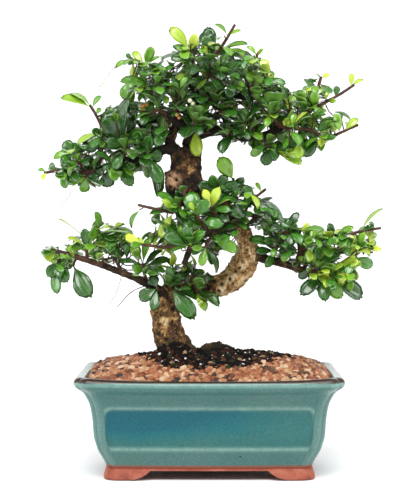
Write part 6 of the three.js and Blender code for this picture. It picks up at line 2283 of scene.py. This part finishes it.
@dataclass
class Ground:
    """What fills the pot: the gravel over the soil, loose crumbs and the drain screens."""

    length: float = 203.2
    depth: float = 152
    soil_level: float = 64
    mound_rim: float = 71.4
    mound_rise: float = 20
    mound_half: Row = (97, 70)
    patch_middle: Row = (2, -1)
    patch_half: Row = (56, 43)
    long_fall: float = 3
    short_fall: float = 1.8
    # A heap at the foot of the trunk: middle, reach and height
    heap: Row = (-27, -18, 21, 9)
    # A bank behind both ends: height, and where it rises in depth and to the sides
    bank: float = 4.5
    bank_depths: Row = (-10, 50)
    bank_sides: Row = (40, 80)
    # How far the bed lies over the soil's solid and under the grains, and how far its points stray
    clear: float = 0.3
    sunk: float = 0.6
    stray: float = 0.5
    # The crust's waves: turns for each millimetre, their height, and how far its points stray
    wave: Row = (0.16, 1.1, 0.25)
    crust_points: int = 120
    crust_rings: int = 30
    crust_depth: float = 3.5
    rim_inset: float = 11
    low_inset: float = 16
    rim_height: float = 72.4
    squareness: float = 5
    spokes: int = 176
    steps: int = 26

    def build(self) -> list[Object]:
        """Makes the gravel, the soil's crust with its crumbs, and the screens.

        Returns:
            The finished pieces.
        """
        stone, peat = RIVER_GRAVEL.material(), DAMP_PEAT.material()
        tree = scatter_tree()
        bed = self.bed()
        crust = self.crust()
        grains = self.scatter("gravel_grains", bed, tree, {
            "Material": stone, "Spacing": 0.0026, "Size": 0.0021, "Seed": 3,
        })
        crumbs = self.scatter("soil_crumbs", crust, tree, {
            "Material": peat, "Spacing": 0.0024, "Size": 0.0018, "Seed": 8,
        })
        flecks = self.scatter("perlite_crumbs", crust, tree, {
            "Material": PERLITE.material(), "Spacing": 0.0052, "Size": 0.00125, "Seed": 12,
        })
        dress(bed, stone)
        dress(crust, peat)
        dress(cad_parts["soil"], peat)
        pieces = [place(bed, Slot.GRAVEL, "gravel"), place(grains, Slot.GRAVEL, "gravel")]
        pieces += [place(piece, Slot.SOIL) for piece in (crust, crumbs, flecks)]
        return pieces + self.screens()

    def mound(self, x: Array, y: Array) -> Array:
        """The height of the mound at places of the pot's plan.

        Args:
            x: Places across.
            y: Places in depth.

        Returns:
            The heights.
        """
        length = np.minimum(1, np.abs(x) / self.mound_half[0]) ** self.long_fall
        depth = np.minimum(1, np.abs(y) / self.mound_half[1]) ** self.short_fall
        x_heap, y_heap, reach, rise = self.heap
        near = np.clip(1 - ((x - x_heap) ** 2 + (y - y_heap) ** 2) / reach ** 2, 0, 1) ** 2
        banked = self.bank * soft_step(*self.bank_depths, y) * soft_step(*self.bank_sides, np.abs(x))
        return self.mound_rim + self.mound_rise * (1 - length) * (1 - depth) + rise * near + banked

    def patch(self, angles: Array, grow: float = 0) -> Array:
        """The edge of the bare patch.

        Args:
            angles: Angles round its middle.
            grow: How much wider than the patch.

        Returns:
            Points of the plan.
        """
        reach = 1 + 0.05 * np.sin(3 * angles + 1) + 0.04 * np.sin(5 * angles)
        x = self.patch_middle[0] + np.cos(angles) * (self.patch_half[0] * reach + grow)
        y = self.patch_middle[1] + np.sin(angles) * (self.patch_half[1] * reach + grow)
        return np.stack([x, y], 1)

    def rim(self, inset: float) -> Array:
        """A soft oblong inside the wall.

        Args:
            inset: How far it lies inside the lip.

        Returns:
            Points of the plan.
        """
        angles = 2 * math.pi * np.arange(self.spokes) / self.spokes
        soft = [np.sign(v) * np.abs(v) ** (2 / self.squareness) for v in (np.cos(angles), np.sin(angles))]
        return np.stack([(self.length / 2 - inset) * soft[0], (self.depth / 2 - inset) * soft[1]], 1)

    def bed(self) -> Object:
        """Makes the closed bed that the grains lie in, darker than the grains as painted shade in the gaps between
        them.

        Returns:
            The bed, with marks for where grains lie.
        """
        rim = self.rim(self.rim_inset)
        angles = np.arctan2((rim[:, 1] - self.patch_middle[1]) / self.patch_half[1],
                            (rim[:, 0] - self.patch_middle[0]) / self.patch_half[0])
        patch, low = self.patch(angles), self.soil_level + self.clear
        rings = [
            np.column_stack([ring, np.full(len(ring), level)])
            for ring, level in ((patch, low), (self.rim(self.low_inset), low), (rim, self.rim_height))
        ]
        rng = np.random.default_rng(5)
        for step in range(1, self.steps + 1):
            ring = rim + (patch - rim) * step / self.steps
            relief = rng.uniform(-self.stray, self.stray, len(ring))
            rings.append(np.column_stack([ring, self.mound(ring[:, 0], ring[:, 1]) - self.sunk + relief]))
        points, faces = loft(rings, joined=True)
        top = np.repeat(np.arange(len(rings)) >= 2, self.spokes).astype(float)
        # Low chances give the bed the gravel's darker colours: painted shade in the gaps between the grains
        chance = rng.uniform(0.1, 0.5, len(points))
        return make_object("gravel_bed", points, faces, {"bearing": top, "chance": chance})

    def crust(self) -> Object:
        """Makes the closed crust of the bare patch, a little over the soil's solid.

        Returns:
            The crust, with marks for where crumbs lie.
        """
        angles = 2 * math.pi * np.arange(self.crust_points) / self.crust_points
        edge = self.patch(angles, 2.5)
        middle = np.array(self.patch_middle)
        rng = np.random.default_rng(9)
        rings = []
        turns, tall, stray = self.wave
        for share in np.linspace(1, 0.02, self.crust_rings):
            ring = middle + (edge - middle) * share
            wave = np.array([noise.noise((x * turns, y * turns, 0.4)) for x, y in ring])
            level = self.mound(ring[:, 0], ring[:, 1]) + self.clear + tall * wave
            rings.append(np.column_stack([ring, level + rng.uniform(-stray, stray, len(ring))]))
        rings.insert(0, rings[0] - (0, 0, self.crust_depth))
        points, faces = loft(rings)
        top = np.repeat(np.arange(len(rings)) >= 1, self.crust_points).astype(float)
        return make_object("soil_crust", points, faces, {"bearing": top})

    def scatter(self, name: str, bed: Object, tree: NodeTree,
                inputs: dict[str, object]) -> Object:
        """Strews grains over the bearing side of a bed.

        Args:
            name: The new object's name.
            bed: What the grains lie on.
            tree: The tree that strews them.
            inputs: Values for its inputs.

        Returns:
            The grains.
        """
        made = bpy.data.objects.new(name, bed.data.copy())
        made.data.name = name
        bpy.context.scene.collection.objects.link(made)
        return finish_with(made, tree, inputs)

    def screens(self) -> list[Object]:
        """Makes the plastic mesh over each drain hole.

        Returns:
            The finished pieces.
        """
        look, tree = BLACK_PLASTIC.material(), netting_tree()
        pieces = []
        for side in ("left", "right"):
            node = f"drain_screen_{side}"
            low, high = (np.array(corner) / MM - POT_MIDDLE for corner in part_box(node))
            middle, size = (low + high) / 2, high - low
            corners = [middle + size * (a, b, 0) / 2 for a, b in ((-1, -1), (1, -1), (1, 1), (-1, 1))]
            made = make_object(f"netting_{side}", np.array(corners), [(0, 1, 2, 3)])
            made = finish_with(made, tree, {"Material": look})
            pieces.append(place(made, Slot.MESH, node))
        return pieces


def scatter_tree() -> NodeTree:
    """Builds the tree that strews rounded grains over the bearing points of a mesh.

    Returns:
        The tree, with the grains' spacing, size and seed as inputs.
    """
    add, given = new_tree("Strewn grains", {"Spacing": 0.003, "Size": 0.002, "Seed": 1})
    seed, here = given["Seed"], add("InputPosition")
    bearing = add("Compare GREATER_THAN", ("InputNamedAttribute FLOAT", {"Name": "bearing"}), 0.5)
    spots = add("DistributePointsOnFaces", {
        "Mesh": given["Geometry"], "Selection": bearing, "Distance Min": given["Spacing"], "Density Max": 400000.0,
        "Seed": seed,
    }, distribute_method="POISSON")
    cube = add("MeshCube", {"Size": (1.0, 1.0, 1.0), "Vertices X": 3, "Vertices Y": 3, "Vertices Z": 3})
    square = add("VectorMath SCALE", {0: here, 3: 0.55})
    ball = add("VectorMath SCALE", {0: ("VectorMath NORMALIZE", here), 3: 0.62})
    grain = add("SetPosition", {"Geometry": cube, "Position": ("VectorMath ADD", square, ball)})
    turn, form = (
        add("RandomValue FLOAT_VECTOR", {"Min": least, "Max": most, "Seed": seed})
        for least, most in (((-3.14,) * 3, (3.14,) * 3), ((0.75, 0.6, 0.5), (1.35, 1.15, 0.95)))
    )
    size = add("VectorMath SCALE", {0: form, 3: given["Size"]})
    grains = add("InstanceOnPoints", {
        "Points": spots, "Instance": grain, "Rotation": turn, "Scale": ("VectorMath SCALE", {0: size, 3: 1.7}),
    })
    tinted = add("StoreNamedAttribute FLOAT", {
        "Geometry": grains, "Name": "chance",
        "Value": ("RandomValue FLOAT", {"Min": 0.0, "Max": 1.0, "Seed": seed}),
    }, domain="INSTANCE")
    real = add("RealizeInstances", tinted)
    knocks = add("TexNoise", {"Vector": here, "Scale": 420.0, "Detail": 1.0})
    depth = add("MULTIPLY", ("ADD", knocks, -0.5), given["Size"])
    push = add("VectorMath SCALE", {0: ("InputNormal",), 3: depth})
    rough = add("SetPosition", {"Geometry": real, "Offset": push})
    return end_tree(given, add("SetShadeSmooth", rough))


def netting_tree() -> NodeTree:
    """Builds the tree that turns a flat square into plastic netting.

    Returns:
        The tree, with the strands' number and thickness as inputs.
    """
    add, given = new_tree("Netting", {"Cuts": 3, "Strand": 0.0005})
    strands = add("MeshToCurve", ("SubdivideMesh", given["Geometry"], given["Cuts"]))
    ring = add("CurvePrimitiveCircle", {"Resolution": 6, "Radius": given["Strand"]})
    return end_tree(given, add("CurveToMesh", {
        "Curve": strands, "Profile Curve": ring, "Fill Caps": True,
    }))


# Matt white paper with a hardly visible drift of grey
PALE_PAPER = Mottled("Pale paper floor", 0.95, 0.1, (3.0, 2.0, 0.5), ((0.3, "#f6f6f7"), (0.7, "#fafafa")))


@dataclass
class Studio:
    """A pale floor that sweeps up behind the plant, a soft sun, and the camera at the photograph's angle."""

    near: float = -40.0
    far: float = 3.2
    bend: float = 1.4
    top: float = 5.0
    half_width: float = 40.0
    sun_from: Row = (-0.12, -0.9, 1.05)
    sun_width: float = 36.0
    sun_energy: float = 2.75
    sheen_from: Row = (0.5, -0.5, 1.6)
    sheen_size: float = 1.1
    sheen_energy: float = 7.0
    strip_from: Row = (1.1, -0.35, 0.35)
    strip_size: Row = (0.3, 0.9)
    strip_energy: float = 5.2
    surround: float = 0.5

    def floor(self) -> None:
        """Makes the pale floor with its sweep."""
        angles = np.linspace(0, math.pi / 2, 24)
        curve = [(self.far + self.bend * math.sin(a), self.bend * (1 - math.cos(a))) for a in angles]
        line = np.array([(self.near, 0), *curve, (self.far + self.bend, self.top)]) / MM
        sides = [np.column_stack([np.full(len(line), x / MM), line]) for x in (self.half_width, -self.half_width)]
        count = len(line)
        faces = [(i, i + 1, count + i + 1, count + i) for i in range(count - 1)]
        made = make_object("floor", np.concatenate(sides) - POT_MIDDLE, faces)
        made.data.shade_smooth()
        dress(made, PALE_PAPER.material())

    def lights(self) -> None:
        """Makes the soft sun, a broad lamp and two strips for the sheen of leaves and glaze, and the world."""
        sun = bpy.data.lights.new("sun", "SUN")
        sun.energy, sun.angle = self.sun_energy, math.radians(self.sun_width)
        sheen = bpy.data.lights.new("sheen", "AREA")
        sheen.shape, sheen.size, sheen.energy = "DISK", self.sheen_size, self.sheen_energy
        lamps = [(sun, self.sun_from), (sheen, self.sheen_from)]
        for side in (-1, 1):
            strip = bpy.data.lights.new("side_strip", "AREA")
            strip.shape, strip.energy = "RECTANGLE", self.strip_energy
            strip.size, strip.size_y = self.strip_size
            lamps.append((strip, (side * self.strip_from[0], *self.strip_from[1:])))
        for lamp, place_ in lamps:
            made = link(lamp.name, lamp)
            made.location = place_
            made.rotation_euler = Vector(place_).to_track_quat("Z", "Y").to_euler()
        world = bpy.data.worlds.new("White surround")
        world.use_nodes = True
        back = world.node_tree.nodes["Background"]
        back.inputs["Color"].default_value = linear("#ffffff")
        back.inputs["Strength"].default_value = self.surround
        bpy.context.scene.world = world
        bpy.context.scene.view_settings.view_transform = "Standard"

    def camera(self) -> None:
        """Makes the camera where the photograph was taken from."""
        lens = bpy.data.cameras.new("camera")
        lens.sensor_fit, lens.sensor_width = "HORIZONTAL", VIEW.sensor
        lens.lens = VIEW.sensor * VIEW.focal / VIEW.columns
        made = link("camera", lens)
        made.location = (POT_MIDDLE + (0, -VIEW.distance, VIEW.eye_height)) * MM
        pitch = math.atan((VIEW.rows / 2 - VIEW.eye_row) / VIEW.focal)
        yaw = math.atan((VIEW.middle_column - VIEW.columns / 2) / VIEW.focal)
        made.rotation_euler = (math.pi / 2 - pitch, 0, yaw)
        bpy.context.scene.camera = made


def main() -> None:
    """Builds the scene's parts in order and reports each piece."""
    studio = Studio()
    studio.camera()
    for part in (Pot(), Ground(), Wood(), Foliage()):
        pieces = part.build()
        faces = sum(len(piece.data.polygons) for piece in pieces)
        log.info("%s: %d pieces, %d faces", type(part).__name__, len(pieces), faces)
    studio.floor()
    studio.lights()


if __name__ == "__main__":
    logging.basicConfig(level=logging.INFO, format="%(name)s: %(message)s")
    main()
